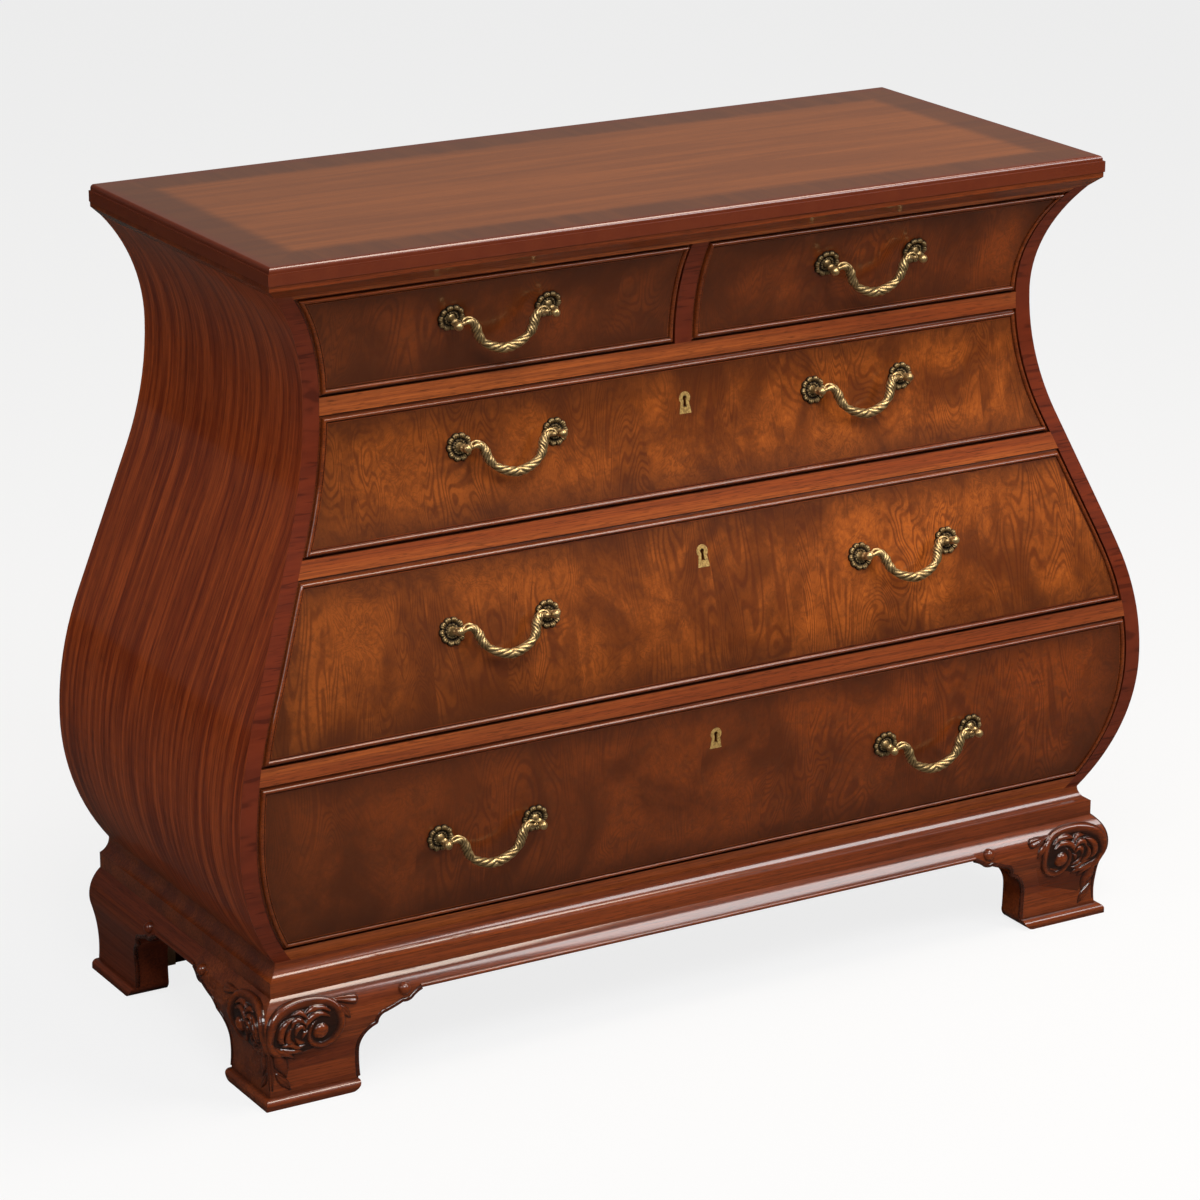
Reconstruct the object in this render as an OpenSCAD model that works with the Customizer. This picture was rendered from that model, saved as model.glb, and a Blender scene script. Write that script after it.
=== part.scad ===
// Bombe chest of drawers: a case that swells in two directions, five drawers with
// cock beads and swinging bail pulls, and a base on carved ogee bracket feet.
// Depths are measured forward from the flat back, widths out from the middle,
// heights up from the floor. The origin is the centre of the footprint.

/* [Swell of the sides] */
// Width across the belly, low down on the sides
belly_w = 1158; // [1130:1:1185]
// How far each side draws in from the belly to the waist
side_waist_in = 119.7; // [105:0.1:130]
// Height of the side belly above the bottom of the case
side_belly_up = 157.5; // [145:0.5:170]
// Drop of the side waist below the top moulding
side_waist_down = 123; // [112:1:135]
// Radius that tucks the sides in below the belly
side_tuck_r = 255; // [235:1:300]
// Radius that flares the sides out above the waist
side_flare_r = 181; // [165:1:220]
// How much steeper the straight stretch of the sides is than their whole slope, as a share
side_lean = 0.4554; // [0.2:0.01:0.9]

/* [Swell of the front] */
// Depth at the belly of the front
belly_d = 462; // [445:1:480]
// How far the front draws in from the belly to the waist
front_waist_in = 75.2; // [60:0.1:90]
// Height of the front belly above the bottom of the case
front_belly_up = 183.5; // [170:0.5:200]
// Drop of the front waist below the top moulding
front_waist_down = 119; // [108:1:130]
// Radius that tucks the front in below the belly
front_tuck_r = 465; // [420:1:520]
// Radius that flares the front out above the waist
front_flare_r = 204; // [185:1:240]
// How much steeper the straight stretch of the front is than its whole slope, as a share
front_lean = 0.5369; // [0.2:0.01:0.9]

/* [Case] */
// Thickness of the sides and width of the stiles seen from the front
wall_t = 19; // [16:0.5:22]
// Depth of the stiles behind the front surface
stile_d = 26; // [24:1:32]
// Depth of the rails between the drawers
rail_d = 50; // [40:1:60]
// Height of each rail between the drawers
rail_h = 19; // [16:0.5:22]
// Height of the rail under the top board
top_rail_h = 21; // [19:0.5:24]
// Width of the divider between the two top drawers
divider_w = 21; // [18:1:26]
// Thickness of the dust panels behind the rails
dust_t = 10; // [8:1:14]
// Thickness of the bottom board
bottom_t = 15.5; // [13:0.5:18]
// Thickness of the back panel
back_t = 9; // [7:1:12]
// Inset of the back panel from the flat back
back_inset = 4; // [2:1:8]
// Clearance of beads, dust panels and drawer bottoms in their seats
seat_gap = 0.15; // [0.1:0.05:0.3]

/* [Drawer openings] */
// Opening of the bottom drawer
opening_4_h = 200.5; // [190:0.5:208]
// Opening of the third drawer
opening_3_h = 182.5; // [174:0.5:190]
// Opening of the second drawer
opening_2_h = 144.5; // [138:0.5:150]
// Opening of the two top drawers
opening_1_h = 118; // [112:1:124]

/* [Top] */
// Thickness of the top board
top_t = 18.5; // [16:0.5:22]
// Overhang of the top board beyond the case
top_over = 13; // [11:0.5:18]
// Radius of the round nose on the edge of the top board
nose_r = 4; // [3:0.5:5]
// Width of the flat step below the nose
nose_step = 2.2; // [1:0.1:3]
// Height of the splayed moulding under the top board
top_mould_h = 16.5; // [14:0.5:18]
// Height of the upright band at the top of that moulding
top_mould_band = 5.8; // [4:0.2:8]
// Depth of the rebate in the case that takes the moulding
mould_rebate = 8; // [6:0.5:9]

/* [Base] */
// Height of the feet and aprons, up to the base moulding
foot_h = 122; // [112:1:132]
// Height of the flat band of the base moulding
base_band_h = 18; // [15:0.5:21]
// Height of the cove of the base moulding
base_cove_h = 16.5; // [14:0.5:19]
// Overhang of the base moulding beyond the case
base_over = 12; // [10:0.5:15]
// Width of the frame strips of the base moulding
base_strip_w = 62; // [55:1:75]

/* [Feet] */
// How far the swell of a foot stands out past the base moulding
bulge_out = 15; // [12:0.5:18]
// Drop of the swell below the top of the foot
bulge_down = 31; // [27:1:35]
// How far the neck of a foot stands out past the base moulding
neck_out = 5; // [3:0.5:7]
// Height of the neck above the floor
neck_up = 28; // [24:1:34]
// How far the pad of a foot stands out past the base moulding
pad_out = 14.7; // [12:0.1:18]
// Height of the pad
pad_h = 11; // [9:0.5:13]
// Radius of the upper edge of the pad
pad_r = 6; // [4:0.5:8]
// Thickness of a bracket, in from the face of the base moulding
bracket_in = 34; // [30:1:36]
// Width of a front bracket at its narrowest
front_bracket_w = 113; // [104:1:122]
// Width of a side bracket at its narrowest
side_bracket_w = 102; // [94:1:110]
// Length of the scalloped shoulder from the upright edge of a bracket to the apron
shoulder_w = 75; // [70:1:84]
// Depth of the apron below the base moulding
apron_h = 19; // [17:0.5:24]
// Radius of the concave arch at the upright edge of a bracket
arch_r = 32; // [29:0.5:33]
// Drop of the centre of the arch below the apron
arch_down = 59.25; // [56:0.25:62]
// Radius of the small scallop above the arch
scallop_r = 12; // [10:0.5:14]
// Distance of the scallop from the upright edge of the bracket
scallop_in = 33; // [32:0.5:36]
// Drop of the centre of the scallop below the apron
scallop_down = 27.5; // [25:0.5:30]
// Radius of the drop that carries the ball
drop_r = 12; // [9:0.5:13]
// Distance of the ball from the upright edge of the bracket
ball_in = 55.5; // [52:0.5:60]
// Height of the centre of the ball above the edge of the apron
ball_up = 3; // [1:0.5:5]
// Radius of the ball carved on each bracket
ball_r = 7.2; // [5:0.1:8]
// Radius of the hollow of the upright edge, which widens the foot downwards
edge_flare_r = 450; // [350:10:700]
// Radius of the rounded toe of a bracket
toe_r = 12; // [8:0.5:16]
// How far the toe stands out from the hollow of the upright edge
toe_lap = 0.2; // [0.1:0.1:1]
// Radius of the bead along the lower edge of the aprons
apron_bead_r = 2.2; // [1.5:0.1:3]
// Side of the glue blocks behind the feet
block_w = 28; // [24:1:32]

/* [Drawers] */
// Visible gap round each drawer
drawer_gap = 1.5; // [1:0.1:2.5]
// Gap below the drawer sides where they run on the panels
run_gap = 0.4; // [0.3:0.1:1]
// Gap between drawer sides and their guides
guide_gap = 0.6; // [0.4:0.1:1.2]
// Thickness of the drawer fronts
front_t = 22; // [20:0.5:25]
// Thickness of the drawer sides and backs
box_t = 12; // [10:0.5:14]
// Thickness of the drawer bottoms
floor_t = 6; // [5:0.5:8]
// Height of a drawer bottom above the lower edge of the drawer sides
floor_up = 10; // [8:0.5:14]
// Depth of the groove that holds the drawer bottom
groove_d = 5; // [4:0.5:7]
// Space above the drawer sides
box_headroom = 9; // [7:0.5:14]
// Space between the drawer backs and the back panel
box_tail = 12; // [8:1:20]
// Width of the guide strips beside the drawers
guide_w = 16; // [14:1:20]
// Height of the guide strips
guide_h = 14; // [10:1:20]

/* [Cock bead] */
// Width of the bead round each drawer front
bead_w = 8.5; // [7:0.5:10]
// How far the crest of the bead stands proud
bead_proud = 3.2; // [2.5:0.1:4]
// Depth of the rebate that holds the bead
bead_sunk = 5; // [4:0.5:7]

/* [Pulls] */
// Distance between the two posts of a pull
pull_span = 116; // [110:1:122]
// Distance of the top pulls from the middle of the chest
pull_1_out = 233.5; // [225:0.5:245]
// Distance of the second drawer pulls from the middle
pull_2_out = 222; // [210:1:235]
// Distance of the third drawer pulls from the middle
pull_3_out = 258; // [245:1:270]
// Distance of the bottom drawer pulls from the middle
pull_4_out = 285; // [272:1:298]
// Height of the top pulls above the bottom of their opening
pull_1_up = 69.5; // [64:0.5:74]
// Height of the second drawer pulls above the bottom of their opening
pull_2_up = 89; // [82:1:96]
// Height of the third drawer pulls above the bottom of their opening
pull_3_up = 105; // [98:1:114]
// Height of the bottom drawer pulls above the bottom of their opening
pull_4_up = 103; // [96:1:112]
// Radius of the rose to the tips of its scallops
rose_r = 15; // [13:0.5:17]
// Thickness of the rose
rose_t = 2.6; // [2:0.2:3.4]
// Number of scallops round a rose
rose_lobes = 10; // [8:1:12]
// Radius of the neck of a post
post_r = 4; // [3.6:0.1:4.2]
// Distance of the bail axis from the drawer face
bail_reach = 15; // [13.5:0.1:16]
// Distance of the ball finial centre from the bail axis
finial_up = 4.5; // [4:0.1:5.5]
// Radius of the ball finial
finial_r = 4.8; // [4.6:0.1:5.2]
// Radius of the threaded shank of a post
shank_r = 2.5; // [2:0.1:3]
// Radial clearance of shanks and bail pins in their holes
fit_gap = 0.05; // [0.02:0.01:0.1]
// Width of the nuts across their corners
nut_w = 10; // [9:0.5:12]
// Thickness of the nuts
nut_t = 4; // [3:0.5:5]

/* [Bails] */
// Radius of the pins at the ends of a bail
pin_r = 1.5; // [1.2:0.1:1.8]
// Radius of the arms of a bail
arm_r = 2.9; // [2.4:0.1:3.4]
// Distance of the upright arms from the posts
arm_in = 22; // [20:0.5:25]
// Radius of the shoulder where an arm turns down
arm_bend_r = 9; // [7:0.5:11]
// Drop of the grip ends below the bail axis
grip_end_drop = 22; // [19:0.5:25]
// Drop of the middle of the grip below the bail axis
grip_drop = 35.5; // [32:0.5:39]
// Radius of the grip
grip_r = 4.6; // [4:0.1:5.2]
// Radius of the curl at the end of an arm
curl_r = 2.2; // [1.6:0.1:2.6]
// Angle between a resting bail and the drawer face, in degrees
bail_stop = 9.5; // [6:0.5:12]

/* [Keyholes] */
// Drop of the keyhole below the top of its opening
key_down = 42; // [36:0.5:48]
// Radius of the round head of the escutcheon
key_head_r = 7; // [6:0.5:8]
// Width of the escutcheon across its foot
key_foot_w = 15; // [12:0.5:18]
// Drop of the foot below the centre of the head
key_foot_down = 17; // [14:0.5:20]
// Thickness of the escutcheon let into the drawer front
key_plate_t = 2; // [1.5:0.1:3]
// Radius of the round part of the keyhole
keyhole_r = 2.6; // [2:0.1:3.2]
// Depth of the keyhole
keyhole_d = 12; // [9:1:15]

/* [Hidden] */
smooth = 180;
round_fn = 40;
far = 2000;
eps = 0.01;

// Heights from the floor up
base_top = foot_h + base_band_h + base_cove_h;
open_h = [opening_1_h, opening_2_h, opening_3_h, opening_4_h];
open_z = [
    base_top + bottom_t + opening_4_h + opening_3_h + opening_2_h + 3 * rail_h,
    base_top + bottom_t + opening_4_h + opening_3_h + 2 * rail_h,
    base_top + bottom_t + opening_4_h + rail_h,
    base_top + bottom_t
];
case_top = open_z[0] + opening_1_h + top_rail_h;
mould_z = case_top - top_mould_h;

// Swell curves: belly out, belly height, waist out, waist height, tuck radius,
// flare radius, radius of the bends beside the straight stretch, and its lean
function slope(run, rise) = atan(run / rise);
function bend_radius(run, rise, share) = round(
    50 * norm([run, rise]) * sin(slope(run, rise) * share)
    / (1 - cos(slope(run, rise) * (1 + share)))
) / 100;
function swell(belly, belly_z, waist_in, waist_z, tuck, flare, share) = [
    belly, belly_z, belly - waist_in, waist_z, tuck, flare,
    bend_radius(waist_in, waist_z - belly_z, share),
    slope(waist_in, waist_z - belly_z) * (1 + share)
];
side = swell(belly_w / 2, base_top + side_belly_up, side_waist_in,
    mould_z - side_waist_down, side_tuck_r, side_flare_r, side_lean);
front = swell(belly_d, base_top + front_belly_up, front_waist_in,
    mould_z - front_waist_down, front_tuck_r, front_flare_r, front_lean);

// Heights where the straight stretch starts and ends
function lean_low(s) = s[1] + s[6] * sin(s[7]);
function lean_high(s) = s[3] - s[6] * sin(s[7]);
// Distance out to a circle of radius r, h above or below its centre
function arc(r, h) = sqrt(r * r - h * h);
// Distance out to the surface at height z
function out_at(s, z) =
    z < s[1] ? s[0] - s[4] + arc(s[4], z - s[1]) :
    z < lean_low(s) ? s[0] - s[6] + arc(s[6], z - s[1]) :
    z < lean_high(s) ? out_at(s, lean_low(s) - eps) - (z - lean_low(s)) * tan(s[7]) :
    z < s[3] ? s[2] + s[6] - arc(s[6], s[3] - z) :
    s[2] + s[5] - arc(s[5], z - s[3]);
// Angle by which the surface faces up at height z
function tip_at(s, z) =
    z < s[1] ? asin((z - s[1]) / s[4]) :
    z < lean_low(s) ? asin((z - s[1]) / s[6]) :
    z < lean_high(s) ? s[7] :
    z < s[3] ? asin((s[3] - z) / s[6]) :
    -asin((z - s[3]) / s[5]);
// Rise of a hollow surface under the rim of a flat disc of radius r
function hollow_rise(s, z, r) =
    z < lean_high(s) ? 0 : z < s[3] ? s[6] - arc(s[6], r) : s[5] - arc(s[5], r);

// Outer sizes of the case, top and base
case_half = out_at(side, mould_z);
case_d = out_at(front, mould_z);
top_half = case_half + top_over;
top_d = case_d + top_over;
base_half = out_at(side, base_top) + base_over;
base_d = out_at(front, base_top) + base_over;

// Drawers: opening, side of the chest (0 when full width), pull and pull height
pull_out = [pull_1_out, pull_2_out, pull_3_out, pull_4_out];
pull_z = [
    open_z[0] + pull_1_up, open_z[1] + pull_2_up,
    open_z[2] + pull_3_up, open_z[3] + pull_4_up
];
function pull_tip(row) = out_at(front, pull_z[row])
    + (bail_reach + finial_up) * cos(tip_at(front, pull_z[row])) + finial_r;
chest_d = max([for (row = [0:3]) pull_tip(row)]);
back_y = chest_d / 2;

// Half width that is clear between the sides over a whole opening
function opening_half(row) =
    (open_z[row] < side[3] && side[3] < open_z[row] + open_h[row] ? side[2] :
    min(out_at(side, open_z[row]), out_at(side, open_z[row] + open_h[row]))) - wall_t;
function box_half(row) = opening_half(row) - drawer_gap - guide_gap;
box_back = back_inset + back_t + box_tail;

// Resting angle of a bail, forward of plumb: it hangs plumb or lies at its stop
function bail_rest(row) = max(0, tip_at(front, pull_z[row]) + bail_stop);

// Colours
mahogany = [0.36, 0.14, 0.07];
mahogany_dark = [0.27, 0.10, 0.05];
walnut = [0.47, 0.24, 0.11];
drawer_wood = [0.66, 0.50, 0.33];
old_brass = [0.62, 0.48, 0.26];

// An outline of widths and heights, run from the back to the front
module from_front(depth = far)
    translate([0, back_y, 0])
        rotate([90, 0, 0])
            linear_extrude(depth)
                children();

// An outline of depths and heights, run from left to right
module from_side(width = 2 * far)
    translate([0, back_y, 0])
        rotate([90, 0, 90])
            linear_extrude(width, center = true)
                mirror([1, 0])
                    children();

// A box given by its widths, depths and heights
module block(x, d, z)
    translate([x[0], back_y - d[1], z[0]])
        cube([x[1] - x[0], d[1] - d[0], z[1] - z[0]]);

// A flat rectangle given by its outs and heights
module patch(out, z)
    translate([out[0], z[0]])
        square([out[1] - out[0], z[1] - z[0]]);

module both_sides() {
    children();
    mirror([1, 0]) children();
}

module handed(hand)
    mirror([hand < 0 ? 1 : 0, 0, 0])
        children();

// The part of a belly arc of radius r between two heights
module belly_area(s, r, z) {
    start = max(s[0] - r, 0);
    if (start > 0) patch([0, start], z);
    intersection() {
        translate([s[0] - r, s[1]]) circle(r, $fn = smooth);
        patch([start, s[0]], z);
    }
}

// The part of a waist arc of radius r between two heights
module waist_area(s, r, z)
    difference() {
        patch([0, s[2] + r], z);
        translate([s[2] + r, s[3]]) circle(r, $fn = smooth);
    }

// The straight stretch at height z, tipped to cross both of its bends
function lean_at(s, z) =
    let (l0 = lean_low(s), l1 = lean_high(s), x0 = out_at(s, l0) - 1.5 * eps, x1 = out_at(s, l1) + eps)
    x0 + (x1 - x0) * (z - l0) / (l1 - l0);

// All that lies inside a swell curve between two heights
module swell_area(s, low, high) {
    l0 = lean_low(s);
    l1 = lean_high(s);
    z0 = max(low, l0 - 1);
    z1 = min(high, l1 + 6);
    if (low < s[1]) belly_area(s, s[4], [low, min(high, s[1])]);
    if (low < l0 + 6 && high > s[1]) belly_area(s, s[6], [max(low, s[1]), min(high, l0 + 6)]);
    if (z0 < z1) polygon([[0, z0], [lean_at(s, z0), z0], [lean_at(s, z1), z1], [0, z1]]);
    if (low < s[3] && high > l1) waist_area(s, s[6], [max(low, l1), min(high, s[3])]);
    if (high > s[3]) waist_area(s, s[5], [max(low, s[3]), high]);
}

// The same, drawn back by a distance and cut off behind another
module swell_band(s, low, high, drawn, behind)
    intersection() {
        translate([-drawn, 0]) swell_area(s, low, high);
        patch([behind, s[0]], [low, high]);
    }

// A band of even thickness under the swell curve
module swell_skin(s, low, high, drawn, thick)
    difference() {
        swell_band(s, low, high, drawn, s[2] - drawn - thick - 1);
        translate([-drawn - thick, 0]) swell_area(s, low - 1, high + 1);
    }

// Room between the sides of the case over its full depth
module between_sides(low, high, clear = 0)
    from_front()
        both_sides()
            swell_band(side, low, high, wall_t + clear, 0);

// Top board with a round nose and a small step on three edges
module top_edge_area(out) {
    nose_out = out - nose_step;
    nose_z = case_top + top_t - nose_r;
    patch([0, out], [case_top, nose_z - nose_step]);
    patch([0, nose_out], [case_top, nose_z]);
    patch([0, nose_out - nose_r], [case_top, case_top + top_t]);
    translate([nose_out - nose_r, nose_z]) circle(nose_r, $fn = round_fn);
}

module top_board()
    color(mahogany)
        intersection() {
            from_side() top_edge_area(top_d);
            from_front() both_sides() top_edge_area(top_half);
        }

// Splayed strips under the top board, mitred at the front corners
module top_mould_area(out) {
    edge = out + top_over - 1.2;
    patch([0, out], [mould_z, case_top]);
    polygon([
        [out - 1, mould_z], [out, mould_z],
        [edge, case_top - top_mould_band], [edge, case_top], [out - 1, case_top]
    ]);
}

module top_moulding()
    color(mahogany)
        difference() {
            intersection() {
                from_side() top_mould_area(case_d);
                from_front() both_sides() top_mould_area(case_half);
            }
            block([mould_rebate - case_half, case_half - mould_rebate],
                [-1, case_d - mould_rebate], [0, far]);
        }

// Sides: an even skin behind the stiles, with a straight neck under the top
module side_panel(hand)
    color(mahogany)
        handed(hand) {
            intersection() {
                from_front() swell_skin(side, base_top, mould_z, 0, wall_t);
                from_side() swell_band(front, base_top, mould_z, stile_d, 0);
            }
            block([case_half - wall_t, case_half - mould_rebate], [0, case_d - stile_d],
                [mould_z, case_top]);
        }

// Stiles: swelled towards the front and towards the side
module stile(hand)
    color(mahogany)
        handed(hand) {
            intersection() {
                from_front() swell_skin(side, base_top, mould_z, 0, wall_t);
                from_side() swell_skin(front, base_top, mould_z, 0, stile_d);
            }
            block([case_half - wall_t, case_half - mould_rebate],
                [case_d - stile_d, case_d - mould_rebate], [mould_z, case_top]);
        }

module back_panel()
    color(drawer_wood)
        intersection() {
            union() {
                between_sides(base_top, mould_z);
                block([wall_t - case_half, case_half - wall_t], [0, far], [mould_z, case_top]);
            }
            block([-far, far], [back_inset, back_inset + back_t], [0, far]);
        }

// Rails follow the front and fill the width between the stiles
module rail(low, high)
    color(mahogany)
        intersection() {
            between_sides(low, high);
            from_side() swell_skin(front, low, high, 0, rail_d);
        }

module rail_top() {
    low = open_z[0] + open_h[0];
    rail(low, mould_z);
    color(mahogany)
        block([wall_t - case_half, case_half - wall_t], [case_d - rail_d, case_d - mould_rebate],
            [mould_z, case_top]);
}

module drawer_divider()
    color(mahogany)
        intersection() {
            from_side() swell_skin(front, open_z[0], open_z[0] + open_h[0], 0, rail_d);
            block([-divider_w / 2, divider_w / 2], [0, far], [0, far]);
        }

// Panels that close off each drawer space and carry the drawer above
module dust_panels()
    color(drawer_wood)
        for (row = [0:2])
            intersection() {
                between_sides(open_z[row] - dust_t, open_z[row], seat_gap);
                from_side() swell_band(front, open_z[row] - dust_t, open_z[row], rail_d, 0);
                block([-far, far], [back_inset + back_t, far], [0, far]);
            }

module bottom_board()
    color(mahogany)
        intersection() {
            between_sides(base_top, open_z[3]);
            from_side() swell_band(front, base_top, open_z[3], 0, 0);
            block([-far, far], [back_inset + back_t, far], [0, far]);
        }

// Strips on the panels that keep each drawer straight
module drawer_guides()
    color(drawer_wood)
        for (row = [0:3]) {
            start = box_half(row) + guide_gap;
            ends = [back_inset + back_t, out_at(front, open_z[row]) - rail_d - guide_w];
            heights = [open_z[row], open_z[row] + guide_h];
            limit = min(out_at(side, heights[0]), out_at(side, heights[1])) - wall_t;
            for (hand = [-1, 1])
                handed(hand)
                    block([start, min(start + guide_w, limit)], ends, heights);
            if (row == 0)
                block([-divider_w / 2, divider_w / 2], ends, heights);
        }

// Base moulding: a mitred frame with a flat band, and a cove above it on three sides
module base_edge_area(out) {
    edge = out + base_over;
    cove_z = foot_h + base_band_h;
    cove_r = (base_over * base_over + base_cove_h * base_cove_h) / (2 * base_over);
    patch([0, edge], [foot_h, cove_z]);
    difference() {
        patch([0, edge], [cove_z, base_top]);
        translate([out + cove_r, base_top]) circle(cove_r, $fn = smooth);
    }
}

module base_moulding()
    color(mahogany)
        difference() {
            intersection() {
                from_side() base_edge_area(base_d - base_over);
                from_front() both_sides() base_edge_area(base_half - base_over);
            }
            block([base_strip_w - base_half, base_half - base_strip_w],
                [base_strip_w, base_d - base_strip_w], [0, far]);
        }

// Ogee section of the feet and aprons, standing out past a face
module ogee_area(face, low) {
    bulge_z = foot_h - bulge_down;
    bulge_r = (bulge_out * bulge_out + bulge_down * bulge_down) / (2 * bulge_out);
    rise = bulge_z - neck_up;
    run = bulge_out - neck_out;
    neck_r = (rise * rise + run * run - 2 * run * bulge_r) / (2 * run);
    join = rise / (bulge_r + neck_r);
    join_z = bulge_z - bulge_r * join;
    bulge_at = face + bulge_out - bulge_r;
    neck_at = face + neck_out + neck_r;
    top = max(low, join_z);
    patch([0, bulge_at], [top, foot_h]);
    intersection() {
        translate([bulge_at, bulge_z]) circle(bulge_r, $fn = smooth);
        patch([bulge_at, face + bulge_out], [top, foot_h]);
    }
    if (low < join_z) {
        difference() {
            patch([0, neck_at], [pad_h, join_z]);
            translate([neck_at, neck_up]) circle(neck_r, $fn = smooth);
        }
        pad = face + pad_out;
        patch([0, pad - pad_r], [0, pad_h]);
        patch([0, pad], [0, pad_h - pad_r]);
        translate([pad - pad_r, pad_h - pad_r]) circle(pad_r, $fn = round_fn);
    }
}

// What is cut away beside a bracket, from its upright edge towards the middle
module bracket_void(edge, reach) {
    apron_z = foot_h - apron_h;
    arch_z = apron_z - arch_down;
    scallop_z = apron_z - scallop_down;
    toe_at = edge_flare_r - arc(edge_flare_r, arch_z - toe_r) + toe_lap - toe_r;
    mirror([1, 0])
        translate([-edge, 0])
            difference() {
                union() {
                    patch([toe_at, reach], [-1, toe_r]);
                    intersection() {
                        patch([0, reach], [toe_r, arch_z]);
                        translate([edge_flare_r, arch_z]) circle(edge_flare_r, $fn = smooth);
                    }
                    intersection() {
                        patch([0, arch_r], [arch_z, arch_z + arch_r]);
                        translate([arch_r, arch_z]) circle(arch_r, $fn = round_fn);
                    }
                    patch([arch_r, reach], [arch_z, arch_z + arch_r]);
                    translate([scallop_in, scallop_z]) circle(scallop_r, $fn = round_fn);
                    polygon([
                        [scallop_in, arch_z], [reach, arch_z], [reach, apron_z],
                        [shoulder_w, apron_z], [scallop_in, scallop_z + scallop_r]
                    ]);
                }
                translate([toe_at, toe_r]) circle(toe_r, $fn = round_fn);
                translate([ball_in, apron_z + ball_up]) circle(drop_r, $fn = round_fn);
            }
}

// Outer edges of the brackets and the lines where the aprons meet them
foot_out = base_half + pad_out;
foot_d = base_d + pad_out;
front_edge = foot_out - front_bracket_w;
side_edge = foot_d - side_bracket_w;
back_edge = side_bracket_w;
apron_half = front_edge - shoulder_w;
apron_side = [back_edge + shoulder_w, side_edge - shoulder_w];

module foot_shape()
    intersection() {
        from_side() ogee_area(base_d, 0);
        from_front() ogee_area(base_half, 0);
    }

module carved_ball(out, d)
    translate([out, back_y - d, foot_h - apron_h + ball_up])
        sphere(ball_r, $fn = round_fn);

// Front feet: two mitred brackets with the ogee on both faces
module front_foot(hand)
    color(mahogany)
        handed(hand) {
            difference() {
                intersection() {
                    foot_shape();
                    block([apron_half, far], [base_d - bracket_in, far], [0, foot_h]);
                }
                from_front() bracket_void(front_edge, shoulder_w + 1);
            }
            difference() {
                intersection() {
                    foot_shape();
                    block([base_half - bracket_in, far], [apron_side[1], far], [0, foot_h]);
                }
                from_side() bracket_void(side_edge, shoulder_w + 1);
            }
            carved_ball(front_edge - ball_in, base_d + bulge_out - ball_r / 2);
            carved_ball(base_half + bulge_out - ball_r / 2, side_edge - ball_in);
        }

// Back feet: one shaped bracket at the side and a plain board across the back
module back_foot(hand)
    color(mahogany)
        handed(hand) {
            difference() {
                intersection() {
                    from_front() ogee_area(base_half, 0);
                    block([base_half - bracket_in, far], [0, apron_side[0]], [0, foot_h]);
                }
                from_side() translate([back_edge * 2, 0]) mirror([1, 0])
                    bracket_void(back_edge, shoulder_w + 1);
            }
            difference() {
                block([apron_half + shoulder_w / 2, base_half - bracket_in], [0, bracket_in],
                    [0, foot_h]);
                from_front() bracket_void(front_edge, shoulder_w + 1);
            }
            carved_ball(base_half + bulge_out - ball_r / 2, back_edge + ball_in);
        }

// Aprons: the top of the ogee, with a bead on the lower edge
module apron_area(face) {
    low = foot_h - apron_h;
    bulge_r = (bulge_out * bulge_out + bulge_down * bulge_down) / (2 * bulge_out);
    bead_at = face + bulge_out - bulge_r + arc(bulge_r, bulge_down - apron_h) - apron_bead_r / 2;
    intersection() {
        ogee_area(face, low);
        patch([face - bracket_in, far], [low, foot_h]);
    }
    translate([bead_at, low + apron_bead_r]) circle(apron_bead_r, $fn = round_fn);
}

module apron_front()
    color(mahogany)
        from_side(2 * apron_half)
            apron_area(base_d);

module apron_side_piece(hand)
    color(mahogany)
        handed(hand)
            intersection() {
                from_front() apron_area(base_half);
                block([0, far], apron_side, [0, far]);
            }

module foot_blocks()
    color(drawer_wood)
        for (hand = [-1, 1])
            handed(hand)
                for (d = [bracket_in, base_d - bracket_in - block_w])
                    block([base_half - bracket_in - block_w, base_half - bracket_in],
                        [d, d + block_w], [pad_h, foot_h]);

// Drawer parts. A row is 0 for the top pair and 3 for the bottom drawer.
// A hand of -1 or 1 picks one of the top pair, and 0 is a full-width drawer.
module drawer_room(row, hand, inset)
    intersection() {
        from_front()
            both_sides()
                swell_band(side, open_z[row] + inset, open_z[row] + open_h[row] - inset,
                    wall_t + inset, 0);
        if (hand == 0)
            block([-far, far], [0, far], [0, far]);
        else
            handed(hand)
                block([divider_w / 2 + inset, far], [0, far], [0, far]);
    }

module drawer_skin(row, drawn, thick)
    from_side()
        swell_skin(front, open_z[row], open_z[row] + open_h[row], drawn, thick);

// Middles of the pulls on a drawer
function pull_mids(row, hand) = hand == 0 ? [-pull_out[row], pull_out[row]] : [hand * pull_out[row]];

// Moves a piece from the origin to the drawer face at a pull, square to the face
module on_face(row)
    translate([0, back_y - out_at(front, pull_z[row]), pull_z[row]])
        rotate([90 - tip_at(front, pull_z[row]), 0, 0])
            children();

module at_posts(row, hand)
    on_face(row)
        for (mid = pull_mids(row, hand), end = [-1, 1])
            translate([mid + end * pull_span / 2, 0, 0])
                children();

module key_outline(grow) {
    circle(key_head_r + grow, $fn = round_fn);
    polygon([
        [-key_head_r * 0.62 - grow, 0], [key_head_r * 0.62 + grow, 0],
        [key_foot_w / 2 + grow, -key_foot_down - grow],
        [-key_foot_w / 2 - grow, -key_foot_down - grow]
    ]);
}

module keyhole_outline() {
    circle(keyhole_r, $fn = round_fn);
    polygon([
        [-keyhole_r * 0.6, 0], [keyhole_r * 0.6, 0],
        [keyhole_r * 0.85, -key_foot_down * 0.6], [-keyhole_r * 0.85, -key_foot_down * 0.6]
    ]);
}

module key_place(row)
    from_front()
        translate([0, open_z[row] + open_h[row] - key_down])
            children();

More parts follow.
